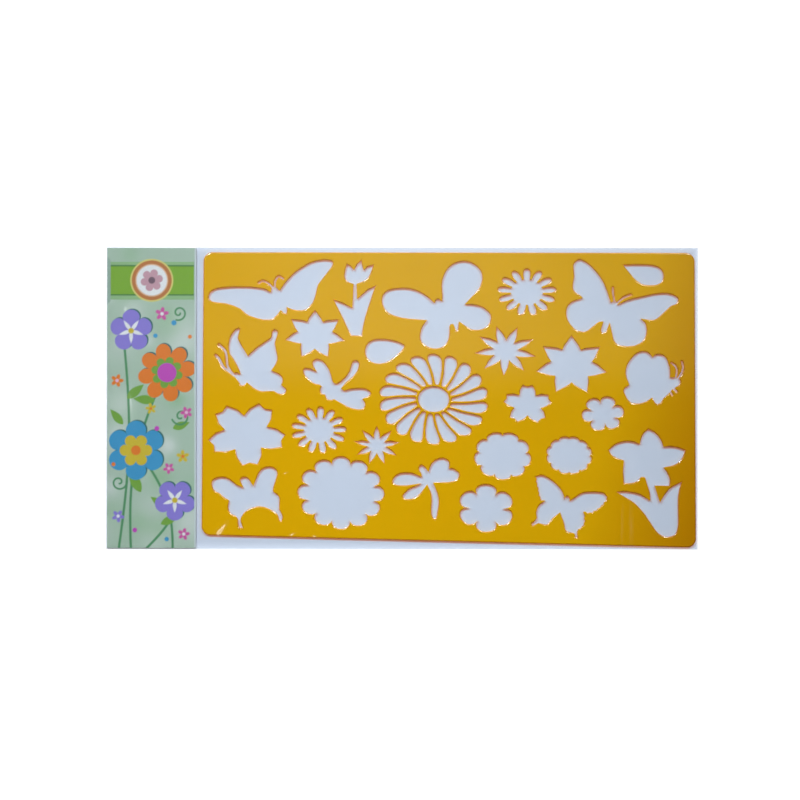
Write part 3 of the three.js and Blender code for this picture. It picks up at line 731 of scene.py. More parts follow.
class CardPrint:
    """A print that is painted on points of the card, one shape over the other.

    Places and lengths are in millimetres, from the card's lower left corner.

    Attributes:
        SOFT: Half the width of a shape's soft edge.
        VALLEY: Radius between two petals of a blossom, as a share of its radius at their tips.
        SPOKES: Petals of a star flower.
        PETAL_MIDDLE: Distance of their middles from the flower's, as a share of its radius.
        PETAL_HALF: Half their width, as a share of it.
        PETAL_STRETCH: Their length over their width.
        EYE: Radius of the flower's eye, as a share of its radius.
        BELLY: Power that shifts a leaf's widest place along it.
        LEAF_END: How steeply the ink ends beyond a leaf's two ends.
        CURL_TURNS: Turns of a tendril.
        CURL_END: Radius at its end, as a share of that at its start.
        CURL_WIDTH: Width of its line.
        CURL_POINTS: Points along it.
    """

    SOFT = 0.22
    VALLEY = 0.6
    SPOKES = 5
    PETAL_MIDDLE = 0.55
    PETAL_HALF = 0.27
    PETAL_STRETCH = 1.5
    EYE = 0.24
    BELLY = 0.8
    LEAF_END = 4.0
    CURL_TURNS = 1.25
    CURL_END = 0.18
    CURL_WIDTH = 0.9
    CURL_POINTS = 40

    def __init__(self, across: Array, up: Array, ground: Colour) -> None:
        """Starts with plain ground.

        Args:
            across: Places across the card.
            up: Places up the card.
            ground: Colour of the bare print.
        """
        self.across = across
        self.up = up
        self.ink = np.tile(np.array(ground), (len(across), 1))

    def cover(self, share: Array, colour: Colour) -> None:
        """Paints a colour over the points, as far as the share of each says."""
        self.ink += share[:, None] * (np.array(colour) - self.ink)

    def inside(self, distance: Array) -> Array:
        """The share of ink at a distance from a shape's edge, negative inside the shape."""
        return np.clip(0.5 - distance / (2 * self.SOFT), 0, 1)

    def turned(self, x: float, y: float, degrees: float) -> tuple[Array, Array]:
        """Places seen from a point, in turned axes.

        Args:
            x: The point's place across the card.
            y: Its place up the card.
            degrees: Turn of the axes.

        Returns:
            Distances along the first and the second turned axis.
        """
        angle = math.radians(degrees)
        dx = self.across - x
        dy = self.up - y
        return dx * math.cos(angle) + dy * math.sin(angle), dy * math.cos(angle) - dx * math.sin(angle)

    def disc(self, x: float, y: float, radius: float, colour: Colour) -> None:
        """Paints a round spot."""
        self.cover(self.inside(np.hypot(self.across - x, self.up - y) - radius), colour)

    def cloud(self, x: float, y: float, radius: float, colour: Colour, share: float) -> None:
        """Paints a soft spot whose ink fades as a bell curve."""
        away = np.hypot(self.across - x, self.up - y) / radius
        self.cover(share * np.exp(-(away**2)), colour)

    def band(self, low: float, high: float, colour: Colour) -> None:
        """Paints a stripe right across the card."""
        self.cover(self.inside(np.abs(self.up - (low + high) / 2) - (high - low) / 2), colour)

    def blossom(self, x: float, y: float, radius: float, petals: int, turn: float, colour: Colour) -> None:
        """Paints a flower with round petals: its radius swells to their tips as the root of a cosine.

        Args:
            x: Its middle across the card.
            y: Its middle up the card.
            radius: Its radius at the petals' tips.
            petals: How many petals it has.
            turn: Its turn in degrees.
            colour: Its colour.
        """
        dx, dy = self.turned(x, y, turn)
        swell = np.sqrt(np.abs(np.cos(petals * np.arctan2(dy, dx) / 2)))
        edge = radius * (self.VALLEY + (1 - self.VALLEY) * swell)
        self.cover(self.inside(np.hypot(dx, dy) - edge), colour)

    def star_flower(
        self, x: float, y: float, radius: float, turn: float, petal: Colour, eye: Colour
    ) -> None:
        """Paints oval petals round an eye.

        Args:
            x: The flower's middle across the card.
            y: Its middle up the card.
            radius: Its radius.
            turn: Turn of its first petal in degrees.
            petal: Colour of the petals.
            eye: Colour of the eye.
        """
        reach = radius * self.PETAL_MIDDLE
        for angle in turn + np.arange(self.SPOKES) * 360 / self.SPOKES:
            px = x + reach * math.cos(math.radians(angle))
            py = y + reach * math.sin(math.radians(angle))
            dx, dy = self.turned(px, py, angle)
            distance = np.hypot(dx / self.PETAL_STRETCH, dy) - radius * self.PETAL_HALF
            self.cover(self.inside(distance), petal)
        self.disc(x, y, radius * self.EYE, eye)

    def leaf(self, x: float, y: float, length: float, width: float, turn: float, colour: Colour) -> None:
        """Paints a leaf whose half width is a sine along it.

        Args:
            x: Place of its stalk across the card.
            y: Place of its stalk up the card.
            length: Its length.
            width: Its width.
            turn: Its direction in degrees.
            colour: Its colour.
        """
        along, side = self.turned(x, y, turn)
        share = np.clip(along / length, 0, 1)
        half = width / 2 * np.sin(math.pi * share**self.BELLY)
        outside = np.maximum(np.abs(along - length / 2) - length / 2, 0)
        self.cover(self.inside(np.abs(side) - half + outside * self.LEAF_END), colour)

    def stroke(self, path: Array, width: float, colour: Colour) -> None:
        """Paints a line of even width along points.

        A place's distance is measured to the nearest point of each step, and the least of these counts.

        Args:
            path: Points of the line.
            width: Its width.
            colour: Its colour.
        """
        start = path[:-1]
        step = path[1:] - start
        dx = self.across[:, None] - start[:, 0]
        dy = self.up[:, None] - start[:, 1]
        share = np.clip((dx * step[:, 0] + dy * step[:, 1]) / (step**2).sum(axis=1), 0, 1)
        away = np.hypot(dx - share * step[:, 0], dy - share * step[:, 1]).min(axis=1)
        self.cover(self.inside(away - width / 2), colour)

    def tendril(self, x: float, y: float, radius: float, turn: float, hand: int, colour: Colour) -> None:
        """Paints a curl: a spiral whose radius shrinks evenly.

        Args:
            x: Its middle across the card.
            y: Its middle up the card.
            radius: Radius at its start.
            turn: Direction of its start in degrees.
            hand: 1 if it turns anticlockwise, -1 if clockwise.
            colour: Its colour.
        """
        share = np.linspace(0, 1, self.CURL_POINTS)
        angle = math.radians(turn) + hand * share * self.CURL_TURNS * 2 * math.pi
        reach = radius * (1 - (1 - self.CURL_END) * share)
        path = np.column_stack([x + reach * np.cos(angle), y + reach * np.sin(angle)])
        self.stroke(path, self.CURL_WIDTH, colour)


@dataclass
class TitleCard:
    """The printed card beside the plate.

    Attributes:
        step: Distance between the points that carry the print.
        bow: Height by which the card's middle bows up.
        edge: Inset of the upper edge, where the cut rounds it off.
        rim_reach: How far from a side, in insets, a point counts as lying along it.
        ground: Colour of the bare print.
        bare: Colour of the card where nothing is printed.
        sharpest: Turn in degrees above which an edge stays sharp.
    """

    step: float = 0.28 * MM
    bow: float = 0.04 * MM
    edge: float = 0.08 * MM
    rim_reach: float = 1.5
    ground: Colour = linear(178, 200, 176)
    bare: Colour = linear(235, 236, 232)
    sharpest: float = 30.0

    def build(self) -> bpy.types.Object:
        """Makes the card, paints its print and dresses it.

        The upper face bows up as the product of two sines. A narrow slope joins it to the walls.

        Returns:
            The card, which stands for the solid of the frame.
        """
        low, high = (np.array(corner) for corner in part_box("title_card"))
        size = high - low
        columns, rows = (np.ceil(size[:2] / self.step).astype(int) + 1).tolist()
        u, v = np.meshgrid(np.linspace(0, 1, columns), np.linspace(0, 1, rows))
        face = np.stack([
            low[0] + self.edge + u * (size[0] - 2 * self.edge),
            low[1] + self.edge + v * (size[1] - 2 * self.edge),
            high[2] + self.bow * np.sin(math.pi * u) * np.sin(math.pi * v),
        ], axis=-1).reshape(-1, 3)
        rim = grid_rim(rows, columns)
        corner = np.where(face[rim, :2] > (low + high)[:2] / 2, high[:2], low[:2])
        near = np.abs(face[rim, :2] - corner) < self.edge * self.rim_reach
        slope_end = np.full(len(rim), high[2] - self.edge)
        foot = np.column_stack([np.where(near, corner, face[rim, :2]), slope_end])
        base = np.column_stack([foot[:, :2], np.full(len(rim), low[2])])
        ring = rows * columns + np.arange(len(rim))
        after = np.roll(np.arange(len(rim)), -1)
        bevel = np.stack([ring, ring[after], rim[after], rim], axis=1)
        wall = np.stack([ring + len(rim), (ring + len(rim))[after], ring[after], ring], axis=1)
        under = (ring + len(rim))[::-1][None]
        points = np.concatenate([face, foot, base])
        faces = [grid_quads(rows, columns), bevel, wall, under]
        piece = new_piece("printed_card", points, faces, Body.CARD)
        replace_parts(piece, "title_card")
        shade_smooth(piece, self.sharpest)
        self.paint(piece, points, rows * columns, low, size)
        piece.data.materials.append(PRINTED_CARD.material())
        return piece

    def paint(self, piece: bpy.types.Object, points: Array, printed: int, low: Array, size: Array) -> None:
        """Paints the print on the upper face and leaves the rest as white card.

        Args:
            piece: The card.
            points: All its points.
            printed: How many of them, from the first, are on the upper face.
            low: The card's lowest corner.
            size: The card's size.
        """
        places = (points[:printed] - low) / MM
        design = CardPrint(places[:, 0], places[:, 1], self.ground)
        GardenDesign(size[0] / MM, size[1] / MM).draw(design)
        ink = np.ones((len(points), 4), np.float32)
        ink[:, :3] = self.bare
        ink[:printed, :3] = design.ink
        layer = piece.data.attributes.new(PRINTED_CARD.layer, "FLOAT_COLOR", "POINT")
        layer.data.foreach_set("color", ink.ravel())


@dataclass
class GardenDesign:
    """A plain garden print: a green band with a roundel, large flowers, leaf sprigs and small blossoms.

    Lengths are in millimetres. The fields that are named for a colour are inks.

    Attributes:
        width: The card's width.
        height: The card's height.
        band: Distances of the band's lower and upper edge from the card's upper end.
        rim: How far the pale rims reach below and above the band.
        line: Half the width of the dark lines along the band.
        clouds: How many clouds mottle the ground.
        stalk: Width of a stalk.
        stem: Ink of stalks and curls.
        shade: Ink of the darker edge of the large flowers.
        moss: Ink of the ground's green clouds.
        leaf: Ink of the leaves.
    """

    width: float
    height: float
    band: Span = (23.6, 9.0)
    rim: Span = (2.4, 2.0)
    line: float = 0.35
    clouds: int = 46
    stalk: float = 1.2
    stem: Colour = linear(84, 148, 96)
    shade: Colour = linear(58, 112, 104)
    moss: Colour = linear(126, 184, 112)
    blue: Colour = linear(64, 156, 200)
    orange: Colour = linear(236, 128, 34)
    yellow: Colour = linear(216, 190, 48)
    magenta: Colour = linear(200, 76, 184)
    violet: Colour = linear(146, 130, 212)
    leaf: Colour = linear(122, 170, 62)
    white: Colour = linear(240, 240, 236)

    def draw(self, design: CardPrint) -> None:
        """Paints the whole design, from the ground up.

        Args:
            design: The print to paint on.
        """
        self.ground(design)
        self.header(design)
        self.stems(design)
        self.flowers(design)
        self.scatter(design)
        self.margin(design)

    def ground(self, design: CardPrint) -> None:
        """Mottles the ground with soft pale and green clouds, always in the same places.

        Args:
            design: The print to paint on.
        """
        seed = 11
        pale_share = 0.55
        places = np.random.default_rng(seed)
        for _ in range(self.clouds):
            x = places.uniform(0, self.width)
            y = places.uniform(0, self.height)
            colour = self.white if places.random() < pale_share else self.moss
            design.cloud(x, y, places.uniform(3, 8), colour, places.uniform(0.15, 0.4))

    def header(self, design: CardPrint) -> None:
        """Paints the band across the upper end, with a roundel that holds a small flower.

        Args:
            design: The print to paint on.
        """
        low, high = self.height - np.array(self.band)
        below, above = self.rim
        spare = 0.2
        design.band(low - below, high + above, linear(150, 190, 132))
        design.band(low - self.line, high + self.line, linear(74, 128, 60))
        design.band(low + self.line, high - self.line, linear(130, 177, 44))
        ends = np.array([low - below - spare, high + above + spare])
        for edge, breadth in ((0.0, 3.4), (self.width, 2.4)):
            design.stroke(np.column_stack([np.full(2, edge), ends]), breadth, linear(158, 182, 162))
        x, y = self.width / 2, (low + high) / 2
        for radius, colour in (
            (10.8, linear(224, 214, 120)),
            (10.0, linear(196, 122, 62)),
            (8.2, linear(232, 190, 150)),
            (7.6, self.white),
        ):
            design.disc(x, y, radius, colour)
        design.blossom(x, y, 5.6, 6, 12, linear(206, 160, 168))
        design.disc(x, y, 1.7, linear(120, 92, 104))

    def stems(self, design: CardPrint) -> None:
        """Paints the stalks, which sway as half a sine, and the leaves and curls under the flowers.

        Args:
            design: The print to paint on.
        """
        rise = np.linspace(0, 1, 30)
        for foot, top, height, sway in (
            (12, 31, 92, -7), (33, 13, 52, 6), (20, 36, 26, 3), (6, 8, 108, 4),
        ):
            x = foot + (top - foot) * rise + sway * np.sin(math.pi * rise)
            design.stroke(np.column_stack([x, height * rise]), self.stalk, self.stem)
        for x, y, length, width, turn in (
            (17, 28, 13, 5, 118), (15, 40, 12, 5, 30), (30, 20, 10, 4, 145), (10, 75, 11, 4.4, 40),
            (8, 62, 10, 4, 130), (24, 74, 11, 4.6, 175), (33, 60, 9, 4, 20), (27, 12, 10, 4, 25),
        ):
            design.leaf(x, y, length, width, turn, self.leaf)
        for x, y, radius, turn, hand in (
            (37, 66, 4.6, 200, 1), (6, 33, 4.2, 20, -1), (36, 118, 3.8, 250, 1),
        ):
            design.tendril(x, y, radius, turn, hand, self.stem)

    def flowers(self, design: CardPrint) -> None:
        """Paints the large flowers, each on a darker edge that stands out at one side.

        Args:
            design: The print to paint on.
        """
        for x, y, radius, petals, turn, colour in (
            (30.0, 88, 14.6, 8, 10, self.orange),
            (14.5, 49, 14.8, 6, 30, self.blue),
            (12.0, 109, 10.6, 5, 18, self.violet),
            (34.0, 24, 10.2, 5, 54, self.violet),
        ):
            design.blossom(x + 0.7, y + 0.5, radius, petals, turn, self.shade)
            design.blossom(x, y, radius, petals, turn, colour)
        design.blossom(30.0, 88, 8.0, 8, 32, self.leaf)
        design.disc(30.0, 88, 4.8, self.magenta)
        design.blossom(14.5, 49, 8.2, 6, 0, self.yellow)
        design.disc(14.5, 49, 2.4, self.orange)
        for x, y, reach in ((12.0, 109, 6.4), (34.0, 24, 6.2)):
            for spoke in range(5):
                design.leaf(x, y, reach, 1.9, 54 + 72 * spoke, self.white)
            design.disc(x, y, 1.4, self.yellow)

    def scatter(self, design: CardPrint) -> None:
        """Paints small blossoms and dots between the large flowers.

        Args:
            design: The print to paint on.
        """
        pink, pale = linear(214, 92, 164), linear(238, 190, 214)
        for x, y, radius, turn, petal, eye in (
            (27.5, 117.5, 3.6, 10, pink, self.white),
            (39.8, 68, 3.2, 40, pink, pale),
            (5.0, 84, 3.4, 0, self.orange, pale),
            (38.0, 46, 3.4, 20, self.yellow, self.orange),
            (5.6, 16, 3.3, 60, self.violet, self.white),
            (22.0, 70, 2.9, 30, self.yellow, self.orange),
            (38.5, 7, 3.2, 5, pink, self.white),
            (31.0, 40, 3.0, 50, pink, pale),
        ):
            design.star_flower(x, y, radius, turn, petal, eye)
        for x, y, radius, colour in (
            (33.5, 113, 1.3, self.blue),
            (41.5, 106, 1.0, self.orange),
            (24.2, 106.5, 1.1, self.blue),
            (25, 60, 1.2, self.magenta),
            (3.2, 42, 1.0, self.orange),
            (30, 4.5, 1.1, self.blue),
            (14, 9, 1.2, self.magenta),
        ):
            design.disc(x, y, radius, colour)

    def margin(self, design: CardPrint) -> None:
        """Pales the print along the card's right edge.

        Args:
            design: The print to paint on.
        """
        beyond, spare, breadth = 0.4, 1.0, 2.6
        ends = np.array([-spare, self.height + spare])
        path = np.column_stack([np.full(2, self.width + beyond), ends])
        design.stroke(path, breadth, linear(206, 216, 212))


@dataclass(frozen=True)
class Crease:
    """A pinch in the film: a bell-shaped ridge with a long and a short axis, in millimetres and degrees.

    Attributes:
        x: Middle of the ridge along the sleeve.
        y: Middle across it.
        length: Distance along the ridge at which it has sunk to about a third.
        width: The same distance across it.
        height: Its height.
        turn: Turn of its long axis from X.
        lean: How far the pinched film leans at the middle, towards +X and +Y, as a slope.
    """

    x: float
    y: float
    length: float
    width: float
    height: float
    turn: float
    lean: tuple[float, float]

    def bell(self, x: Array, y: Array) -> Array:
        """The ridge's shape: e to minus the squares of the distances along and across it.

        Args:
            x: Places along the sleeve.
            y: Places across it.

        Returns:
            Shares of the ridge's height.
        """
        angle = math.radians(self.turn)
        along = ((x - self.x) * math.cos(angle) + (y - self.y) * math.sin(angle)) / self.length
        side = ((y - self.y) * math.cos(angle) - (x - self.x) * math.sin(angle)) / self.width
        return np.exp(-(along**2) - side**2)


@dataclass
class FilmSleeve:
    """The clear sleeve: a front film that lies over the contents, a flat back film, a fold and two welds.

    Attributes:
        film: Thickness of the film.
        over: Height of the front film above what it lies on.
        seam: Height of the underside of the front film at the closed edges.
        fine: Distance between points near the creases.
        coarse: Distance between points elsewhere.
        clear: Gap between films and what touches them.
        wave: Half the height of the front film's long waves, in millimetres.
        fold_height: Height of the folded edge.
        weld_height: Height of a melted seam.
        sharpest: Turn in degrees above which an edge stays sharp.
        CREASES: The pinches in the front film.
        FINE_X: Stretches along the sleeve with close points, in millimetres.
        FINE_Y: Stretches across it.
    """

    film: float = 0.08 * MM
    over: float = 0.1 * MM
    seam: float = 0.12 * MM
    fine: float = 0.4 * MM
    coarse: float = 2.0 * MM
    clear: float = 0.01 * MM
    wave: float = 0.015
    fold_height: float = 0.28 * MM
    weld_height: float = 0.26 * MM
    sharpest: float = 40.0

    CREASES = (
        Crease(-89.6, -65.0, 3.0, 0.95, 0.07, 54, (-0.13, 0.43)),
        Crease(-91.8, -67.9, 2.2, 1.7, 0.05, 53, (-0.12, 0.4)),
        Crease(-55.2, -68.6, 1.9, 0.6, 0.06, 25, (-0.16, 0.44)),
        Crease(-43.9, -69.5, 1.3, 0.6, 0.05, 0, (-0.17, 0.43)),
        Crease(-58.5, -37.9, 0.9, 0.5, 0.05, 25, (-0.16, 0.4)),
        Crease(19.5, 73.8, 1.5, 0.4, 0.03, 0, (-0.25, 0.26)),
        Crease(32.0, 73.8, 1.3, 0.4, 0.03, 0, (-0.27, 0.26)),
        Crease(110.5, -64.4, 9.0, 0.6, 0.03, 89, (0.06, 0.25)),
        Crease(115.0, -64.4, 9.0, 1.0, 0.03, 91, (0.08, 0.28)),
        Crease(115.5, -33.8, 6.0, 1.0, 0.03, 90, (0.08, 0.3)),
        Crease(-138.8, 44.1, 3.6, 2.4, 0.06, 90, (-0.07, 0.22)),
        Crease(-136.1, -3.5, 11.0, 1.9, 0.07, 90, (-0.08, 0.26)),
        Crease(-140.3, -2.8, 2.2, 2.0, 0.05, 0, (-0.07, 0.22)),
    )
    FINE_X = (
        (-95.0, -86.0), (-61.0, -41.0), (-144.0, -131.0), (-104.0, -99.0), (108.0, 118.0), (147.0, 148.4)
    )
    FINE_Y = ((-73.0, -60.0), (-40.0, -35.5), (40.0, 49.0), (72.5, 75.5))

    def build(self) -> list[bpy.types.Object]:
        """Makes the five pieces of the sleeve and dresses them.

        Returns:
            The pieces.
        """
        pieces = [self.front(), self.back(), self.fold(), self.weld("left_weld"), self.weld("right_weld")]
        finish = CLEAR_FILM.material()
        for piece in pieces:
            shade_smooth(piece, self.sharpest)
            piece.data.materials.append(finish)
        return pieces

    def stations(self, low: float, high: float, fine: Sequence[tuple[float, float]]) -> Array:
        """Places along an axis: close together in the fine stretches and wide apart elsewhere.

        The density of points is added up along the axis. The places are where its sum reaches equal shares.

        Args:
            low: First place.
            high: Last place.
            fine: Stretches with close points.

        Returns:
            The places.
        """
        samples = 4000
        axis = np.linspace(low, high, samples)
        near = np.zeros_like(axis, bool)
        for start, end in fine:
            near |= (axis > start) & (axis < end)
        total = np.cumsum(np.where(near, 1 / self.fine, 1 / self.coarse)) * (axis[1] - axis[0])
        total = (total - total[0]) / (total[-1] - total[0])
        count = int(((high - low) / self.coarse) + sum((e - s) / self.fine for s, e in fine))
        return np.interp(np.linspace(0, 1, count), total, axis)

    def front_height(self, x: Array, y: Array) -> Array:
        """Height of the front film's underside.

        Along the sleeve it is a broken line over the card, the gap and the plate, down to the seams. It
        comes down to the fold too, and the lower of the two heights holds. Long low waves, one plus the
        product of two slanting sines, and the creases stand on that.

        Args:
            x: Places along the sleeve.
            y: Places across it.

        Returns:
            The heights.
        """
        sheet_low, sheet_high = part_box("sleeve_front")
        card_low, card_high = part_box("title_card")
        plate_low, plate_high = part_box("stencil_plate")
        on_card = card_high.z + self.over
        on_plate = plate_high.z + self.over
        along = np.interp(
            x,
            [sheet_low.x, card_low.x, card_high.x, plate_low.x, plate_high.x, sheet_high.x],
            [self.seam, on_card, on_card, on_plate, on_plate, self.seam],
        )
        across = np.interp(y, [card_high.y, sheet_high.y], [on_plate, self.seam])
        base = np.minimum(along, across)
        held = np.clip((base - self.seam) / (on_card - self.seam), 0, 1)
        px, py = x / MM, y / MM
        # Distances over which the waves turn by a radian, in millimetres, and how far they sway.
        long_reach, cross_reach, slant_reach, sway_reach, sway = 17, 23, 71, 31, 0.8
        swayed = px / long_reach + sway * np.sin(py / sway_reach)
        wave = 1 + np.sin(swayed) * np.sin(py / cross_reach + px / slant_reach)
        ridges = sum(crease.height * crease.bell(px, py) for crease in self.CREASES)
        return base + held * (self.wave * wave + ridges) * MM

    def front(self) -> bpy.types.Object:
        """Makes the front film on a grid that is finer near the creases and bends at the contents' edges.

        Returns:
            The film, with its lean in the creases as an attribute.
        """
        low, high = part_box("sleeve_front")
        card_low, card_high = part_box("title_card")
        plate_low, plate_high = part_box("stencil_plate")
        x = self.stations(low.x, high.x, [(start * MM, end * MM) for start, end in self.FINE_X])
        x = np.union1d(x, [card_low.x, card_high.x, plate_low.x, plate_high.x])
        y = self.stations(low.y, high.y, [(start * MM, end * MM) for start, end in self.FINE_Y])
        y = np.union1d(y, [card_high.y])
        grid_x, grid_y = np.meshgrid(x, y)
        under = np.stack([grid_x, grid_y, self.front_height(grid_x, grid_y)], axis=-1)
        over = under + np.array([0, 0, self.film])
        points, faces = closed_sheet(under, over)
        piece = new_piece("front_film", points, [faces], Body.SLEEVE)
        lean = sum(
            crease.bell(grid_x / MM, grid_y / MM)[..., None] * np.array([*crease.lean, 0.0])
            for crease in self.CREASES
        ).reshape(-1, 3)
        layer = piece.data.attributes.new(CLEAR_FILM.layer, "FLOAT_VECTOR", "POINT")
        both = np.concatenate([np.zeros_like(lean), lean])
        layer.data.foreach_set("vector", both.ravel().astype(np.float32))
        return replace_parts(piece, "sleeve_front")

    def back(self) -> bpy.types.Object:
        """Makes the back film, a flat sheet just clear of what lies on it.

        Returns:
            The film.
        """
        columns, rows = 60, 30
        low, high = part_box("sleeve_back")
        x = np.linspace(low.x, high.x, columns)
        y = np.linspace(low.y, high.y, rows)
        grid_x, grid_y = np.meshgrid(x, y)
        under = np.stack([grid_x, grid_y, np.full_like(grid_x, self.clear)], axis=-1)
        over = under + np.array([0, 0, self.film])
        points, faces = closed_sheet(under, over)
        piece = new_piece("back_film", points, [faces], Body.SLEEVE)
        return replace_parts(piece, "sleeve_back")

    def bead(
        self, name: str, path: Array, half_width: float, height: float, side: Array
    ) -> bpy.types.Object:
        """Carries a flat oval along a path, closed at both ends: widths as a cosine, heights as a sine.

        Args:
            name: The piece's name.
            path: Points along the middle of the bead, at the height of its underside.
            half_width: Half the width of the oval.
            height: Its height.
            side: Unit direction across the path.

        Returns:
            The bead.
        """
        corners = 10
        turn = np.linspace(0, 2 * math.pi, corners, endpoint=False)
        offsets = np.outer(np.cos(turn) * half_width, side)
        offsets[:, 2] += (1 + np.sin(turn)) * height / 2
        rings = path[:, None] + offsets[None]
        count = len(path)
        number = np.arange(count * corners).reshape(count, corners)
        after = np.roll(number, -1, axis=1)
        skin = np.stack([number[:-1], number[1:], after[1:], after[:-1]], axis=-1).reshape(-1, 4)
        ends = np.stack([number[0], number[-1, ::-1]])
        return new_piece(name, rings.reshape(-1, 3), [skin, ends], Body.SLEEVE)

    def fold(self) -> bpy.types.Object:
        """Makes the rounded crease along the closed long side.

        Returns:
            The crease.
        """
        count = 200
        low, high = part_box("sleeve_fold")
        x = np.linspace(low.x, high.x, count)
        path = np.column_stack([x, np.full_like(x, (low.y + high.y) / 2), np.full_like(x, self.clear)])
        half = (high.y - low.y) / 2 - self.clear
        piece = self.bead("folded_edge", path, half, self.fold_height, np.array([0.0, -1.0, 0.0]))
        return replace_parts(piece, "sleeve_fold")

    def weld(self, node: str) -> bpy.types.Object:
        """Makes the bead of a melted end seam.

        Args:
            node: The solid that it stands for.

        Returns:
            The bead.
        """
        count = 240
        low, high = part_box(node)
        y = np.linspace(low.y, high.y, count)
        path = np.column_stack([np.full_like(y, (low.x + high.x) / 2), y, np.full_like(y, self.clear)])
        half = (high.x - low.x) / 2 - self.clear
        name = node.replace("weld", "seam")
        piece = self.bead(name, path, half, self.weld_height, np.array([1.0, 0.0, 0.0]))
        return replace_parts(piece, node)


@dataclass
class Lamp:
    """A soft lamp whose beam is brightest along its aim.

    Attributes:
        name: The lamp's name.
        place: Where it stands.
        aim: Where it points, on the floor.
        size: Width of its square.
        spread: Full angle of its beam, in degrees.
        level: Share of full white that it alone gives a white floor where it points.
    """

    name: str
    place: Triple
    aim: Triple
    size: float
    spread: float
    level: float

    def light(self) -> None:
        """Puts the lamp into the scene.

        A lamp that shines all ways needs a power of pi squared times the level and the cube of its
        distance, over its height. A beam is brighter along its aim by tan(a) / (tan(a) - a), where a is
        half its angle.
        """
        data = bpy.data.lights.new(self.name, "AREA")
        data.size = self.size
        data.spread = math.radians(self.spread)
        way = Vector(self.aim) - Vector(self.place)
        half = data.spread / 2
        gain = math.tan(half) / (math.tan(half) - half)
        data.energy = self.level * math.pi**2 * way.length**3 / -way.z / gain
        lamp = bpy.data.objects.new(self.name, data)
        lamp.location = self.place
        lamp.rotation_euler = way.to_track_quat("-Z", "Y").to_euler()
        bpy.context.scene.collection.objects.link(lamp)


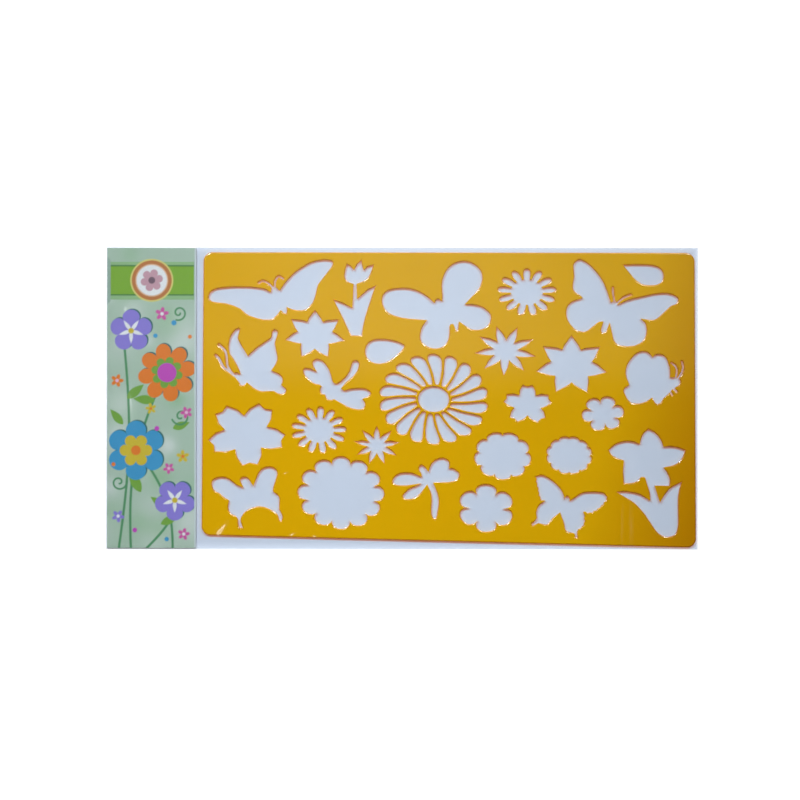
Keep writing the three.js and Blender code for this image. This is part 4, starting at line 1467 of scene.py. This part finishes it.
@dataclass
class Studio:
    """Floor, sky, lamps and camera.

    Attributes:
        floor_size: Side of the floor.
        floor_drop: How far the floor lies below the sleeve.
        dim_sky: Light of the sky at the near side.
        bright_sky: Light of the sky at the far side.
        sky_turn: Lean towards the far side where the sky begins to brighten, and where it is bright.
        sky_half: Lean to either side at which the bright sky has sunk to about a third.
        side_share: Share of the bright sky's light that is left far to the sides.
        camera_place: Where the camera stands.
        camera_turn: Its turn about X, Y and Z from looking straight down, in degrees.
        lens: Focal length in millimetres.
        sensor: Width of the camera's frame in millimetres.
        nearest: Distance from which on the camera sees things.
        film_faces: How many see-through faces light may pass.
        floor_points: Points along each side of the floor.
        LAMPS: The lamps.
    """

    floor_size: float = 6.0
    floor_drop: float = 0.3 * MM
    dim_sky: float = 0.005
    bright_sky: float = 0.68
    sky_turn: Span = (0.006, 0.026)
    sky_half: float = 0.12
    side_share: float = 0.2
    camera_place: Triple = (-1.05 * MM, -1.0 * MM, 836.6 * MM)
    camera_turn: Triple = (0.0, 0.0, 0.07)
    lens: float = 75.0
    sensor: float = 36.0
    nearest: float = 0.01
    film_faces: int = 32
    floor_points: int = 9

    LAMPS = (
        Lamp("left_lamp", (-0.42, 0.58, 0.68), (-0.02, -0.14, 0.0), 0.18, 60.0, 0.59),
        Lamp("right_lamp", (0.4, 0.58, 0.68), (-0.02, -0.14, 0.0), 0.18, 60.0, 0.405),
    )

    def build(self) -> None:
        """Sets up the whole studio."""
        self.floor()
        self.sky()
        self.camera()
        for lamp in self.LAMPS:
            lamp.light()
        bpy.context.scene.view_settings.view_transform = "Standard"
        bpy.context.scene.cycles.transparent_max_bounces = self.film_faces

    def floor(self) -> None:
        """Lays the floor, a flat grid."""
        axis = np.linspace(-self.floor_size / 2, self.floor_size / 2, self.floor_points)
        x, y = np.meshgrid(axis, axis)
        points = np.stack([x, y, np.full_like(x, -self.floor_drop)], axis=-1).reshape(-1, 3)
        mesh = bpy.data.meshes.new("floor")
        quads = grid_quads(self.floor_points, self.floor_points)
        mesh.from_pydata(points.tolist(), [], quads.tolist())
        floor = bpy.data.objects.new("floor", mesh)
        bpy.context.scene.collection.objects.link(floor)
        floor.data.materials.append(WHITE_FLOOR.material())

    def sky(self) -> None:
        """Lights the world, brighter in a strip towards the far side, and white where the camera sees it.

        The strip fades to its sides as e to minus the square of the lean over its half width.
        """
        world = bpy.data.worlds.new("sky")
        bpy.context.scene.world = world
        world.use_nodes = True
        sketch = NodeSketch(world.node_tree)
        way = sketch.add("ShaderNodeTexCoord").outputs["Generated"]
        lean = sketch.add("ShaderNodeSeparateXYZ", {0: way}).outputs
        share = sketch.ramp(lean["Y"], self.sky_turn)
        aside = sketch.math("DIVIDE", lean["X"], self.sky_half)
        square = sketch.math("MULTIPLY", aside, aside)
        bell = sketch.math("EXPONENT", sketch.math("MULTIPLY", square, -1.0))
        strip = sketch.math("MULTIPLY", share, sketch.spread(bell, self.side_share, 1.0))
        level = sketch.spread(strip, self.dim_sky, self.bright_sky)
        rays = sketch.add("ShaderNodeLightPath").outputs
        strength = sketch.math("MAXIMUM", level, rays["Is Camera Ray"])
        light = sketch.add("ShaderNodeBackground", {"Color": (1.0, 1.0, 1.0, 1.0), "Strength": strength})
        sketch.add("ShaderNodeOutputWorld", {"Surface": light.outputs[0]})

    def camera(self) -> None:
        """Places the camera at the photograph's viewpoint."""
        data = bpy.data.cameras.new("camera")
        data.lens = self.lens
        data.sensor_width = self.sensor
        data.clip_start = self.nearest
        camera = bpy.data.objects.new("camera", data)
        turn = Matrix.Identity(4)
        for degrees, axis in zip(self.camera_turn, "XYZ"):
            turn = turn @ Matrix.Rotation(math.radians(degrees), 4, axis)
        camera.matrix_world = Matrix.Translation(self.camera_place) @ turn
        bpy.context.scene.collection.objects.link(camera)
        bpy.context.scene.camera = camera


AMBER_FACE = AmberPlastic(
    name="amber_face",
    pale=linear(237, 187, 5),
    deep=linear(227, 175, 0),
    painted_shade=linear(203, 138, 0),
    roughness=(0.36, 0.42),
    gloss=0.06,
)
# A deeper orange copy of the amber for the shoulders and walls: painted shade for the darker look of the
# plate's edges.
SHADED_AMBER_EDGE = AmberPlastic(
    name="shaded_amber_edge",
    pale=linear(236, 176, 26),
    deep=linear(222, 156, 12),
    painted_shade=linear(196, 124, 6),
    roughness=(0.2, 0.26),
    gloss=1.0,
)
CLEAR_FILM = ClearFilm(
    name="clear_film",
    tint=(0.935, 0.953, 0.977),
    mirror=0.03,
    roughness=(0.05, 0.09),
    layer="lean",
    dulling=0.62,
)
PRINTED_CARD = PrintedCard(name="printed_card", layer="print", roughness=(0.42, 0.55))
WHITE_FLOOR = WhiteFloor(
    name="white_floor",
    albedo=0.9,
    glow=(0.06, 0.45),
    half=(144.5 * MM, 72 * MM),
    fade=6 * MM,
    far=(0.19, 0.36),
)


def main() -> None:
    """Builds every sub-assembly in order."""
    logging.basicConfig(level=logging.INFO, format="%(name)s: %(message)s")
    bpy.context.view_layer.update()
    Studio().build()
    StencilPlate().build()
    TitleCard().build()
    FilmSleeve().build()
    bpy.context.view_layer.update()


if __name__ == "__main__":
    main()
